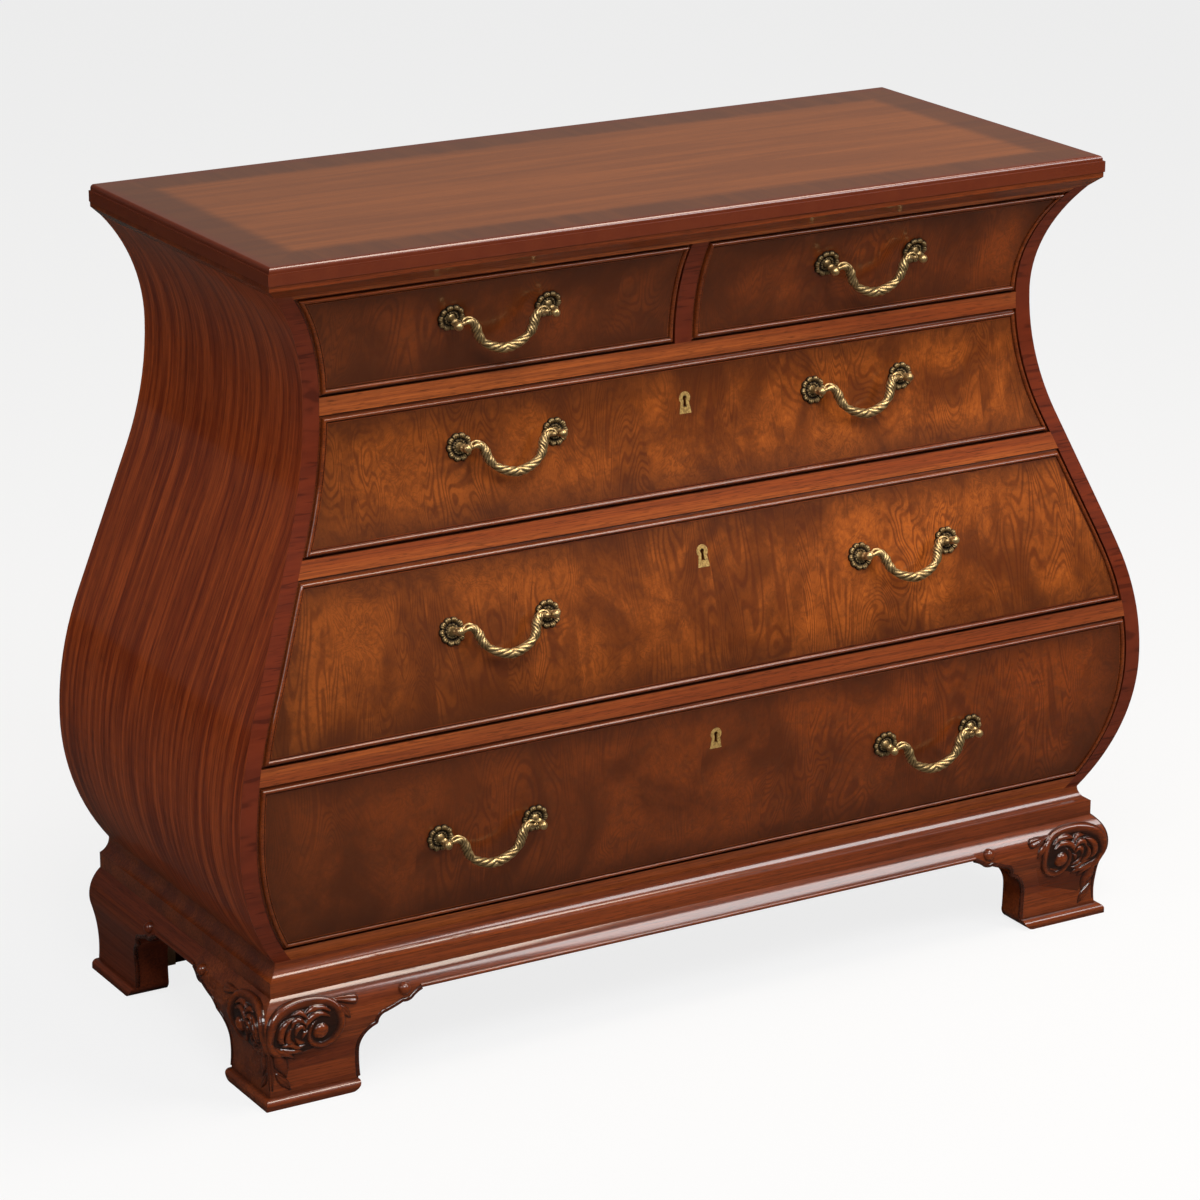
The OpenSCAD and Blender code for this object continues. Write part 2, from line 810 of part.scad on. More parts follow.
module drawer_front(row, hand)
    color(walnut)
        difference() {
            union() {
                intersection() {
                    drawer_skin(row, bead_sunk, front_t - bead_sunk);
                    drawer_room(row, hand, drawer_gap);
                }
                intersection() {
                    drawer_skin(row, 0, front_t);
                    drawer_room(row, hand, drawer_gap + bead_w);
                }
            }
            at_posts(row, hand)
                translate([0, 0, -2 * front_t])
                    cylinder(r = shank_r + fit_gap, h = 3 * front_t, $fn = round_fn);
            if (hand == 0) {
                intersection() {
                    key_place(row) key_outline(0);
                    drawer_skin(row, -1, key_plate_t + 1);
                }
                intersection() {
                    key_place(row) keyhole_outline();
                    drawer_skin(row, -1, keyhole_d + 1);
                }
            }
        }

module escutcheon(row)
    color(old_brass)
        intersection() {
            key_place(row) difference() {
                key_outline(0);
                keyhole_outline();
            }
            drawer_skin(row, 0, key_plate_t);
        }

// Bead section: distance in from the edge of the drawer, and out from its face
bead_section = [
    [0, seat_gap - bead_sunk], [0, 0.3], [bead_w * 0.2, bead_proud * 0.55],
    [bead_w * 0.45, bead_proud * 0.9], [bead_w * 0.65, bead_proud],
    [bead_w * 0.86, bead_proud * 0.85], [bead_w * 0.98 - seat_gap, bead_proud * 0.45],
    [bead_w - seat_gap, 0], [bead_w - seat_gap, seat_gap - bead_sunk]
];

// The bead is one closed sweep: up the outer edge, across, down and back
function bead_ring(row, hand, edge, z, corner) = [
    for (p = bead_section)
        let (
            low = open_z[row] + drawer_gap,
            high = open_z[row] + open_h[row] - drawer_gap,
            h = corner > 0 ? high - p[0] : corner < 0 ? low + p[0] : z,
            swelled = out_at(side, h) - wall_t - drawer_gap - p[0],
            straight = divider_w / 2 + drawer_gap + p[0],
            x = edge > 0 ? swelled : hand == 0 ? -swelled : straight
        )
        [(hand < 0 ? -1 : 1) * x, back_y - out_at(front, h) - p[1], h]
];

module drawer_bead(row, hand) {
    low = open_z[row] + drawer_gap + bead_w;
    high = open_z[row] + open_h[row] - drawer_gap - bead_w;
    steps = ceil((high - low) / 9);
    levels = [for (i = [1:steps - 1]) low + (high - low) * i / steps];
    rings = concat(
        [bead_ring(row, hand, 1, 0, -1)],
        [for (z = levels) bead_ring(row, hand, 1, z, 0)],
        [bead_ring(row, hand, 1, 0, 1), bead_ring(row, hand, -1, 0, 1)],
        [for (i = [len(levels) - 1:-1:0]) bead_ring(row, hand, -1, levels[i], 0)],
        [bead_ring(row, hand, -1, 0, -1)]
    );
    n = len(bead_section);
    count = len(rings);
    quads = [
        for (i = [0:count - 1], j = [0:n - 1])
            let (a = i * n + j, b = i * n + (j + 1) % n,
                c = ((i + 1) % count) * n + (j + 1) % n, d = ((i + 1) % count) * n + j)
                hand < 0 ? [[a, b, c], [a, c, d]] : [[c, b, a], [d, c, a]]
    ];
    color(mahogany_dark)
        polyhedron(
            points = [for (ring = rings, p = ring) p],
            faces = [for (pair = quads, face = pair) face]
        );
}

// Inner and outer widths of a drawer box, from the middle of the chest
function box_outs(row, hand) = [
    hand == 0 ? -box_half(row) : divider_w / 2 + guide_gap,
    box_half(row)
];

module box_boards(row, hand) {
    outs = box_outs(row, hand);
    low = open_z[row] + run_gap;
    high = open_z[row] + open_h[row] - box_headroom;
    floor_z = low + floor_up;
    for (x = [[outs[0], outs[0] + box_t], [outs[1] - box_t, outs[1]]])
        difference() {
            intersection() {
                from_side() swell_band(front, low, high, front_t, box_back);
                block(x, [0, far], [0, far]);
            }
            block([outs[0] + box_t - groove_d, outs[1] - box_t + groove_d], [0, far],
                [floor_z, floor_z + floor_t]);
        }
    block([outs[0] + box_t, outs[1] - box_t], [box_back, box_back + box_t],
        [floor_z + floor_t, high]);
}

module drawer_box(row, hand)
    color(drawer_wood)
        handed(hand)
            box_boards(row, hand);

module drawer_floor(row, hand)
    color(drawer_wood)
        handed(hand) {
            outs = box_outs(row, hand);
            low = open_z[row] + run_gap + floor_up;
            intersection() {
                from_side() swell_band(front, low, low + floor_t, front_t + seat_gap, box_back);
                block([outs[0] + box_t - groove_d, outs[1] - box_t + groove_d], [0, far],
                    [0, far]);
            }
        }

// A scalloped rose, a turned post with a ball finial, and the nut behind
module rose() {
    lobe_r = rose_r * sin(180 / rose_lobes) * 0.85;
    linear_extrude(rose_t)
        difference() {
            union() {
                circle(rose_r - lobe_r, $fn = round_fn);
                for (i = [0:rose_lobes - 1])
                    rotate(i * 360 / rose_lobes)
                        translate([rose_r - lobe_r, 0])
                            circle(lobe_r, $fn = round_fn);
            }
            circle(shank_r + fit_gap, $fn = round_fn);
        }
}

// The post is turned; its hole for the bail faces the middle of the pull
module post(row, end) {
    foot = hollow_rise(front, pull_z[row], rose_r) + rose_t + fit_gap;
    behind = front_t * cos(tip_at(front, pull_z[row])) + nut_t + 3;
    neck_top = bail_reach + finial_up * 0.55;
    difference() {
        union() {
            rotate_extrude($fn = round_fn)
                polygon([
                    [0, -behind], [shank_r, -behind], [shank_r, foot], [post_r + 3, foot],
                    [post_r + 3, foot + 1], [post_r + 1, foot + 2.2], [post_r, foot + 3.6],
                    [post_r, neck_top], [0, neck_top]
                ]);
            translate([0, 0, bail_reach + finial_up]) sphere(finial_r, $fn = round_fn);
        }
        translate([-end * (post_r + 1), 0, bail_reach])
            rotate([0, end * 90, 0])
                cylinder(r = pin_r + fit_gap, h = post_r + 1.8, $fn = round_fn);
    }
}

module nut(row)
    translate([0, 0, -front_t * cos(tip_at(front, pull_z[row])) - nut_t - 0.1])
        difference() {
            cylinder(d = nut_w, h = nut_t, $fn = 6);
            translate([0, 0, -1])
                cylinder(r = shank_r + fit_gap, h = nut_t + 2, $fn = round_fn);
        }

module pull_posts(row, hand)
    color(old_brass)
        on_face(row)
            for (mid = pull_mids(row, hand), end = [-1, 1])
                translate([mid + end * pull_span / 2, 0, 0]) {
                    translate([0, 0, hollow_rise(front, pull_z[row], rose_r)]) rose();
                    post(row, end);
                    nut(row);
                }

// A bail in its own plane: x along the bail axis, y up, origin on the axis
module bail_half() {
    half = pull_span / 2;
    arm_x = half - arm_in;
    grip_ring = (arm_x * arm_x + pow(grip_drop - grip_end_drop, 2))
        / (2 * (grip_drop - grip_end_drop));
    sweep = asin(arm_x / grip_ring);
    shoulder = finial_r + 0.5;
    translate([half - shoulder - eps, 0, 0])
        rotate([0, 90, 0])
            cylinder(r = pin_r, h = shoulder - 1.4, $fn = round_fn);
    translate([arm_x + arm_bend_r, 0, 0])
        rotate([0, 90, 0])
            cylinder(r = arm_r, h = arm_in - arm_bend_r - shoulder, $fn = round_fn);
    translate([arm_x + arm_bend_r, -arm_bend_r, 0])
        rotate([0, 0, 90])
            rotate_extrude(angle = 90, $fn = 2 * round_fn)
                translate([arm_bend_r, 0])
                    circle(arm_r, $fn = round_fn);
    translate([arm_x, -grip_end_drop, 0])
        rotate([-90, 0, 0])
            cylinder(r = arm_r, h = grip_end_drop - arm_bend_r, $fn = round_fn);
    translate([arm_x, -grip_end_drop, 0])
        sphere(grip_r, $fn = round_fn);
    translate([half - shoulder - 1.5 * curl_r, -arm_r - curl_r / 2, 0])
        sphere(curl_r, $fn = round_fn);
    translate([0, grip_ring - grip_drop, 0])
        rotate([0, 0, -90])
            rotate_extrude(angle = sweep, $fn = smooth)
                translate([grip_ring, 0])
                    circle(grip_r, $fn = round_fn);
}

module bail(row, hand)
    color(old_brass)
        translate([hand * pull_out[row], 0, 0])
            on_bail_axis(row)
                for (end = [0, 1])
                    mirror([end, 0, 0])
                        bail_half();

module on_bail_axis(row) {
    tip = tip_at(front, pull_z[row]);
    translate([0, back_y - out_at(front, pull_z[row]) - bail_reach * cos(tip),
        pull_z[row] + bail_reach * sin(tip)])
        rotate([90 - bail_rest(row), 0, 0])
            children();
}

top_board();
top_moulding();
side_panel(-1);  // side_left
side_panel(1);  // side_right
stile(-1);  // stile_left
stile(1);  // stile_right
back_panel();
rail_top();
rail(open_z[0] - rail_h, open_z[0]);  // rail_upper
rail(open_z[1] - rail_h, open_z[1]);  // rail_middle
rail(open_z[2] - rail_h, open_z[2]);  // rail_lower
drawer_divider();
dust_panels();
bottom_board();
drawer_guides();
base_moulding();
front_foot(-1);  // foot_front_left
front_foot(1);  // foot_front_right
back_foot(-1);  // foot_back_left
back_foot(1);  // foot_back_right
apron_front();
apron_side_piece(-1);  // apron_left
apron_side_piece(1);  // apron_right
foot_blocks();
drawer_front(0, -1);  // top_left_front
drawer_bead(0, -1);  // top_left_bead
drawer_box(0, -1);  // top_left_box
drawer_floor(0, -1);  // top_left_floor
pull_posts(0, -1);  // top_left_posts
bail(0, -1);  // top_left_bail
drawer_front(0, 1);  // top_right_front
drawer_bead(0, 1);  // top_right_bead
drawer_box(0, 1);  // top_right_box
drawer_floor(0, 1);  // top_right_floor
pull_posts(0, 1);  // top_right_posts
bail(0, 1);  // top_right_bail
drawer_front(1, 0);  // second_front
drawer_bead(1, 0);  // second_bead
drawer_box(1, 0);  // second_box
drawer_floor(1, 0);  // second_floor
pull_posts(1, 0);  // second_posts
bail(1, -1);  // second_bail_left
bail(1, 1);  // second_bail_right
escutcheon(1);  // second_escutcheon
drawer_front(2, 0);  // third_front
drawer_bead(2, 0);  // third_bead
drawer_box(2, 0);  // third_box
drawer_floor(2, 0);  // third_floor
pull_posts(2, 0);  // third_posts
bail(2, -1);  // third_bail_left
bail(2, 1);  // third_bail_right
escutcheon(2);  // third_escutcheon
drawer_front(3, 0);  // bottom_front
drawer_bead(3, 0);  // bottom_bead
drawer_box(3, 0);  // bottom_box
drawer_floor(3, 0);  // bottom_floor
pull_posts(3, 0);  // bottom_posts
bail(3, -1);  // bottom_bail_left
bail(3, 1);  // bottom_bail_right
escutcheon(3);  // bottom_escutcheon
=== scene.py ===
# %% [markdown]
# # A bombe chest of drawers
# A bombe chest swells low down, both forward and sideways, and narrows to a
# waist under the top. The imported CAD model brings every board, drawer, post and
# bail as a fixed frame. This file dresses that frame: wood finishes, old brass,
# carved feet, roped bails, and a quiet studio around it. Lengths are in metres.

# %% Load the frame
import math
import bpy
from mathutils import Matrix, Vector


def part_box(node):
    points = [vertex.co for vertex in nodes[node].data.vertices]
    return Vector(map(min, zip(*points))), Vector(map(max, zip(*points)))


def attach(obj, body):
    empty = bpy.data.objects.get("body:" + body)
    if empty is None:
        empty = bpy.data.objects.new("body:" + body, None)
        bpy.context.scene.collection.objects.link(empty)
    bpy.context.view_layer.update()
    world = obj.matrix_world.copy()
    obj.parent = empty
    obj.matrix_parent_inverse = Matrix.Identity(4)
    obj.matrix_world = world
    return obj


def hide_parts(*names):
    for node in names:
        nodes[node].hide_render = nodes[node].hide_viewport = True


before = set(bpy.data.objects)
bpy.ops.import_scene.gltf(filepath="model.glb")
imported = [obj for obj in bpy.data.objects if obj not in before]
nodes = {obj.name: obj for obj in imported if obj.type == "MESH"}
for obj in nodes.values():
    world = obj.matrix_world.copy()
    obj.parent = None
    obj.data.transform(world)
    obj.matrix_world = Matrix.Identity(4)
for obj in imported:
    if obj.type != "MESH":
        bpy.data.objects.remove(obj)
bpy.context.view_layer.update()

from fnmatch import fnmatch

import bmesh
import bpy
import numpy as np
from mathutils import Matrix, Vector

# %% [markdown]
# ## The camera
# The photograph looks down at the chest from the front left through a long lens.
# A long lens far away keeps the two ends of the chest nearly the same size. The
# camera is set from its place and from two of the directions it sees by. The
# third is square to both.

# %% Camera
SENSOR = 0.036
FOCAL = 4352.17 / 1200  # focal length as a share of the picture's width


def make_camera(place, ahead, right):
    ahead, right = Vector(ahead).normalized(), Vector(right).normalized()
    up = right.cross(ahead).normalized()
    right = ahead.cross(up)
    data = bpy.data.cameras.new("camera")
    data.sensor_width = SENSOR * 1000
    data.lens = FOCAL * SENSOR * 1000
    data.clip_start, data.clip_end = 0.1, 100
    camera = bpy.data.objects.new("camera", data)
    bpy.context.scene.collection.objects.link(camera)
    turn = Matrix((right, up, -ahead)).transposed().to_4x4()
    camera.matrix_world = Matrix.Translation(place) @ turn
    bpy.context.scene.camera = camera
    return camera


camera = make_camera(
    place=(-2.3839, -4.0215, 1.9753),
    ahead=(0.4812, 0.8179, -0.3154),
    right=(0.8619, -0.5071, 0.0014),
)
print("lens", round(camera.data.lens, 2), "mm")

# %% [markdown]
# ## Shader helpers
# Every finish below is a small network of nodes. A short helper that makes a
# node, sets its values and joins its sockets keeps those networks readable.


# %% Node helpers
def feed(tree, node, values):
    """Sets each named socket of a node, or joins another node's socket to it."""
    for name, value in values.items():
        if isinstance(value, bpy.types.NodeSocket):
            tree.links.new(value, node.inputs[name])
        else:
            node.inputs[name].default_value = value


def add_node(tree, kind, inputs=None, **settings):
    node = tree.nodes.new(kind)
    for name, value in settings.items():
        setattr(node, name, value)
    feed(tree, node, inputs or {})
    return node


def new_group(name, inputs, outputs):
    tree = bpy.data.node_groups.new(name, "ShaderNodeTree")
    kinds = {"value": "NodeSocketFloat", "vector": "NodeSocketVector"}
    for label, kind, default in inputs:
        socket = tree.interface.new_socket(label, in_out="INPUT", socket_type=kinds[kind])
        if default is not None:
            socket.default_value = default
    for label in outputs:
        tree.interface.new_socket(label, in_out="OUTPUT", socket_type=kinds["value"])
    return tree, tree.nodes.new("NodeGroupInput"), tree.nodes.new("NodeGroupOutput")


def use_group(tree, group, **inputs):
    node = add_node(tree, "ShaderNodeGroup", node_tree=group)
    feed(tree, node, {name.replace("_", " "): value for name, value in inputs.items()})
    return node


def new_material(name):
    material = bpy.data.materials.new(name)
    material.use_nodes = True
    tree = material.node_tree
    tree.nodes.clear()
    shader = tree.nodes.new("ShaderNodeBsdfPrincipled")
    out = tree.nodes.new("ShaderNodeOutputMaterial")
    tree.links.new(shader.outputs[0], out.inputs[0])
    return material, tree, shader


# %% [markdown]
# The networks keep using the same few steps: a sum, a soft step from one value to
# another, a blend of two colours, a noise drawn out along one direction, the
# distance to an edge, and a fine bump.


# %% Steps of the networks
def maths(tree, operation, *values, clamp=False):
    return add_node(
        tree, "ShaderNodeMath", dict(enumerate(values)), operation=operation, use_clamp=clamp
    ).outputs[0]


def ramp(tree, value, low, high, out_low=0.0, out_high=1.0):
    inputs = {
        "Value": value, "From Min": low, "From Max": high, "To Min": out_low, "To Max": out_high
    }
    node = add_node(tree, "ShaderNodeMapRange", inputs, interpolation_type="SMOOTHSTEP")
    return node.outputs["Result"]


def blend_colours(tree, share, first, second):
    inputs = {0: share, 6: first, 7: second}
    return add_node(tree, "ShaderNodeMix", inputs, data_type="RGBA").outputs[2]


def tint(tree, colour, mask, share, other):
    """Blends another colour in by a mask, up to the given share."""
    return blend_colours(tree, maths(tree, "MULTIPLY", mask, share), colour, other)


def object_place(tree):
    return add_node(tree, "ShaderNodeTexCoord").outputs["Object"]


def mapped(tree, vector, turn=(0, 0, 0), scale=(1, 1, 1)):
    inputs = {"Vector": vector, "Rotation": turn, "Scale": scale}
    return add_node(tree, "ShaderNodeMapping", inputs).outputs[0]


def add_noise(tree, vector, scale, detail, roughness=0.5, distortion=0.0, stretch=None):
    inputs = {
        "Vector": mapped(tree, vector, scale=stretch) if stretch else vector,
        "Scale": scale, "Detail": detail, "Roughness": roughness, "Distortion": distortion,
    }
    return add_node(tree, "ShaderNodeTexNoise", inputs).outputs["Fac"]


def edge_gap(tree, value, low, high):
    """How far a coordinate is from the nearer of two ends."""
    return maths(
        tree, "MINIMUM",
        maths(tree, "SUBTRACT", value, low), maths(tree, "SUBTRACT", high, value),
    )


def fine_bump(tree, height, strength, distance):
    inputs = {"Height": height, "Strength": strength, "Distance": distance}
    return add_node(tree, "ShaderNodeBump", inputs).outputs[0]


def rgb(red, green, blue):
    """A colour as a screen shows it, 0 to 255, turned into the light it stands for."""

    def linear(value):
        value = value / 255
        return value / 12.92 if value <= 0.04045 else ((value + 0.055) / 1.055) ** 2.4

    return (linear(red), linear(green), linear(blue), 1.0)


print("a screen's middle grey is", round(rgb(128, 128, 128)[0], 3), "of white's light")

# %% [markdown]
# ## Straight grain
# Mahogany shows fine dark lines along the board, broad light and dark ribbons,
# and short open pores. Three noises do this: each is stretched along the grain,
# because a tree's fibres are long and thin. The group takes coordinates whose X
# runs along the grain.

# %% Straight grain group
grain_group, start, end = new_group(
    "straight_grain",
    [("Vector", "vector", None), ("Ribbon Width", "value", 0.03)],
    ["Ribbons", "Lines", "Pores"],
)
vector = start.outputs["Vector"]
ribbon_scale = maths(grain_group, "DIVIDE", 1.0, start.outputs["Ribbon Width"])
ribbons = add_noise(grain_group, vector, ribbon_scale, 3, 0.55, 0.3, stretch=(0.05, 1, 1))
lines = add_noise(grain_group, vector, 1, 4, 0.65, 0.25, stretch=(6, 420, 420))
pores = add_noise(grain_group, vector, 1, 1, stretch=(55, 1300, 1300))
feed(grain_group, end, {
    "Ribbons": ramp(grain_group, ribbons, 0.32, 0.68),
    "Lines": ramp(grain_group, lines, 0.3, 0.7),
    "Pores": ramp(grain_group, pores, 0.57, 0.68),
})
print("grain group", len(grain_group.nodes), "nodes")

# %% [markdown]
# ## Painted shade and tarnish in the corners
# Ambient occlusion measures how closed-in a point is. On wood the group paints
# shade there, in corners, gaps and recesses; on brass it stands for tarnish.

# %% Corner shade and tarnish group
shade_tarnish_group, start, end = new_group(
    "corner_shade_and_tarnish", [("Reach", "value", 0.012), ("Depth", "value", 1.0)], ["Shade And Tarnish"]
)
closed_in = add_node(
    shade_tarnish_group, "ShaderNodeAmbientOcclusion", {"Distance": start.outputs["Reach"]}, samples=6
)
# painted shade on wood, tarnish on brass: darker where a point is closed in
darkness = ramp(shade_tarnish_group, closed_in.outputs["AO"], 0.35, 0.98, 1.0, 0.0)
corner_darkness = maths(shade_tarnish_group, "MULTIPLY", darkness, start.outputs["Depth"], clamp=True)
feed(shade_tarnish_group, end, {"Shade And Tarnish": corner_darkness})
print("glaze group", len(shade_tarnish_group.nodes), "nodes")

# %% [markdown]
# ## Plain mahogany
# The frame, base, feet and sides share one recipe: a mid colour, lighter and
# darker ribbons, fine lines, pores, and painted shade in the corners, under a
# clear lacquer. Only the grain's direction, the colours and the polish change
# from board to board, so one function makes them all. The uprights take a darker
# tone where they face forward, and carved wood gets more painted shade in its
# hollows and on the flanks of its strokes.


# %% Mahogany finishes
def mahogany(
    name, dark, mid, light, turn=(0, 0, 0), ribbon=0.03, flatten=(1, 1, 1), front_tone=None,
    corner_darkness=0.7, reach=0.014, carved=False, rough=0.34, lacquer=0.6, coat_rough=0.09,
):
    material, tree, shader = new_material(name)
    place = mapped(tree, object_place(tree), turn, flatten)
    grain = use_group(tree, grain_group, Vector=place, Ribbon_Width=ribbon).outputs
    colour = blend_colours(tree, grain["Ribbons"], mid, light)
    if front_tone:
        facing = add_node(tree, "ShaderNodeTexCoord").outputs["Normal"]
        forward = add_node(tree, "ShaderNodeSeparateXYZ", {"Vector": facing}).outputs["Y"]
        share = ramp(tree, maths(tree, "ABSOLUTE", forward), 0.5, 0.75)
        colour = blend_colours(tree, share, colour, front_tone)
    colour = tint(tree, colour, grain["Lines"], 0.55, dark)
    colour = tint(tree, colour, grain["Pores"], 0.5, [c * 0.35 for c in dark[:3]] + [1])
    darkness = use_group(tree, shade_tarnish_group, Reach=reach, Depth=corner_darkness).outputs["Shade And Tarnish"]
    if carved:
        hollow = add_node(tree, "ShaderNodeAttribute", attribute_name="hollow").outputs["Fac"]
        darkness = maths(tree, "MAXIMUM", darkness, hollow)
    height = maths(tree, "SUBTRACT", grain["Lines"], grain["Pores"])
    # painted shade: corner darkness, and on carved wood its hollows, blend toward near-black
    feed(tree, shader, {
        "Base Color": blend_colours(tree, darkness, colour, rgb(26, 10, 6)),
        "Roughness": maths(tree, "MULTIPLY_ADD", grain["Lines"], 0.08, rough),
        "Normal": fine_bump(tree, height, 0.06, 0.0004),
        "Specular IOR Level": 0.12,
        "Coat Weight": lacquer,
        "Coat Roughness": coat_rough,
    })
    return material


UPRIGHT = (0, math.radians(90), 0)
CROSSWISE = (0, 0, math.radians(90))
RIBBON_SIDE = dict(turn=UPRIGHT, ribbon=0.009, corner_darkness=0.5, flatten=(0.02, 1, 1))
frame_wood = mahogany("mahogany_rails", rgb(62, 24, 12), rgb(130, 59, 24), rgb(156, 80, 34))
side_wood = mahogany(
    "mahogany_ribbon_sides", rgb(66, 19, 6), rgb(112, 40, 12), rgb(160, 70, 26), **RIBBON_SIDE
)
upright_wood = mahogany(
    "mahogany_uprights", rgb(66, 19, 6), rgb(112, 40, 12), rgb(156, 66, 26),
    front_tone=rgb(100, 38, 17), **RIBBON_SIDE
)
base_wood = mahogany(
    "mahogany_base", rgb(44, 14, 4), rgb(98, 38, 11), rgb(126, 56, 19),
    lacquer=1.0, coat_rough=0.11,
)
base_side_wood = mahogany(
    "mahogany_base_ends", rgb(50, 17, 8), rgb(96, 38, 16), rgb(114, 48, 22), turn=CROSSWISE
)
carved_wood = mahogany(
    "mahogany_carved", rgb(40, 12, 4), rgb(96, 37, 10), rgb(120, 52, 17),
    corner_darkness=1.0, reach=0.012, carved=True, rough=0.26, lacquer=1.0, coat_rough=0.06,
)
# the bead's corner darkness paints shade into the gaps round it
bead_wood = mahogany(
    "mahogany_bead", rgb(46, 16, 5), rgb(104, 44, 14), rgb(122, 56, 20),
    corner_darkness=1.0, reach=0.0018, rough=0.3, lacquer=0.75, coat_rough=0.04,
)
lip_wood = mahogany(
    "mahogany_lips", rgb(24, 8, 3), rgb(58, 21, 8), rgb(72, 28, 11),
    corner_darkness=1.0, reach=0.004, rough=0.24, lacquer=1.0, coat_rough=0.06,
)
print(carved_wood.name, len(carved_wood.node_tree.nodes), "nodes")

# %% [markdown]
# ## Top board
# The top has long grain in the middle and a darker crossbanded border, where the
# grain runs square to each edge and meets in a mitre at the corners. Distances to
# the edges of the board pick the border and the direction of its grain. The outer
# rim is a little redder, as in the photograph.

# %% Crossbanded top
BORDER = 0.056
top_low, top_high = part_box("top_board")
top_wood, tree, shader = new_material("mahogany_top")
place = object_place(tree)
split = add_node(tree, "ShaderNodeSeparateXYZ", {"Vector": place}).outputs
end_gap = maths(tree, "SUBTRACT", top_high.x, maths(tree, "ABSOLUTE", split["X"]))
long_gap = edge_gap(tree, split["Y"], top_low.y, top_high.y)
gap = maths(tree, "MINIMUM", end_gap, long_gap)
border = maths(tree, "LESS_THAN", gap, BORDER)
crosswise = maths(tree, "MULTIPLY", border, maths(tree, "LESS_THAN", long_gap, end_gap))
lengthwise = maths(tree, "SUBTRACT", 1, crosswise)
long_grain, cross_grain = (
    use_group(tree, grain_group, Vector=vector, Ribbon_Width=0.018).outputs
    for vector in (place, mapped(tree, place, CROSSWISE))
)
ribbons, lines, pores = (
    maths(
        tree, "ADD",
        maths(tree, "MULTIPLY", cross_grain[label], crosswise),
        maths(tree, "MULTIPLY", long_grain[label], lengthwise),
    )
    for label in ("Ribbons", "Lines", "Pores")
)
colour = blend_colours(tree, ribbons, rgb(112, 57, 19), rgb(130, 69, 25))
colour = tint(tree, colour, lines, 0.3, rgb(82, 40, 18))
colour = tint(tree, colour, pores, 0.25, rgb(50, 22, 10))
stain = ramp(tree, gap, BORDER - 0.01, BORDER + 0.01, 0.62, 0.0)
colour = blend_colours(tree, stain, colour, rgb(58, 24, 12))
rim = ramp(tree, gap, 0.004, 0.02, 0.6, 0.0)
feed(tree, shader, {
    "Base Color": blend_colours(tree, rim, colour, rgb(92, 30, 14)),
    "Roughness": 0.36,
    "Normal": fine_bump(tree, lines, 0.05, 0.0004),
    "Specular IOR Level": 0.2,
    "Coat Weight": 0.8,
    "Coat Roughness": 0.07,
})
print("top board", [round(v, 3) for v in top_high - top_low])

# %% [markdown]
# ## Drawer lining and back boards
# Sides, backs and bottoms of drawers are plain, pale, unpolished wood. The boards
# of the case's back and the dust panels get a browner tone of the same wood.


# %% Drawer lining and back boards
def lining(name, turn=(0, 0, 0), plain=rgb(150, 112, 72), pale=rgb(178, 140, 96)):
    material, tree, shader = new_material(name)
    place = mapped(tree, object_place(tree), turn)
    grain = use_group(tree, grain_group, Vector=place, Ribbon_Width=0.05).outputs
    colour = blend_colours(tree, grain["Ribbons"], plain, pale)
    feed(tree, shader, {
        "Base Color": tint(tree, colour, grain["Lines"], 0.4, rgb(122, 86, 52)),
        "Roughness": 0.62,
        "Normal": fine_bump(tree, grain["Lines"], 0.15, 0.0005),
    })
    return material


lining_across = lining("lining_across")
lining_deep = lining("lining_deep", CROSSWISE)
back_boards = lining("back_boards", plain=rgb(136, 84, 50), pale=rgb(160, 104, 64))
print("unpolished woods", [lining_across.name, lining_deep.name, back_boards.name])

# %% [markdown]
# ## Figured veneer
# The drawer fronts are faced with figured walnut: clouds of lighter and darker
# wood, patches of contour lines like those on a map, small burr curls between
# them, and fine flecks. Contour lines come from a smooth noise that is folded many
# times by a sine. The sheet number moves the figure, so that each sheet differs.

# %% Figured veneer group
veneer_group, start, end = new_group(
    "figured_veneer",
    [("Vector", "vector", None), ("Sheet", "value", 0.0)],
    ["Clouds", "Contours", "Flecks"],
)
tree = veneer_group
shift = add_node(tree, "ShaderNodeCombineXYZ", {"Y": start.outputs["Sheet"]}).outputs[0]
vector = add_node(
    tree, "ShaderNodeVectorMath", {0: start.outputs["Vector"], 1: shift}, operation="ADD"
).outputs[0]
clouds = add_noise(tree, vector, 11, 5, 0.62, 0.6, stretch=(1, 0.1, 0.75))
swirl = add_noise(tree, vector, 8, 2, 0.4, 0.9, stretch=(1.9, 0.1, 0.5))
patch = add_noise(tree, vector, 7, 2, 0.5, 0.6, stretch=(1, 0.1, 0.75))
burr = add_noise(tree, vector, 26, 3, 0.5, 1.4, stretch=(1, 0.1, 0.8))
fleck = add_noise(tree, vector, 240, 5, 0.7, 0.8, stretch=(1, 0.1, 0.6))


def folded(value, folds, low):
    return ramp(tree, maths(tree, "SINE", maths(tree, "MULTIPLY", value, folds)), low, 1.0)


patches = ramp(tree, patch, 0.34, 0.56)
elsewhere = maths(tree, "MULTIPLY_ADD", patches, -0.55, 0.6)
cathedrals = maths(tree, "MULTIPLY", folded(swirl, 240, -0.4), patches)
curls = maths(tree, "MULTIPLY", folded(burr, 95, -0.2), elsewhere)
feed(tree, end, {
    "Clouds": ramp(tree, clouds, 0.34, 0.64),
    "Contours": maths(tree, "MAXIMUM", cathedrals, curls),
    "Flecks": ramp(tree, fleck, 0.46, 0.68),
})
print("veneer group", len(tree.nodes), "nodes")

# %% [markdown]
# ## Lamps
# A large soft lamp in front and weaker ones to the left and right give the even
# light of a catalogue studio. A warm one hangs over the right end and lights the
# top, and a faint one stands behind.


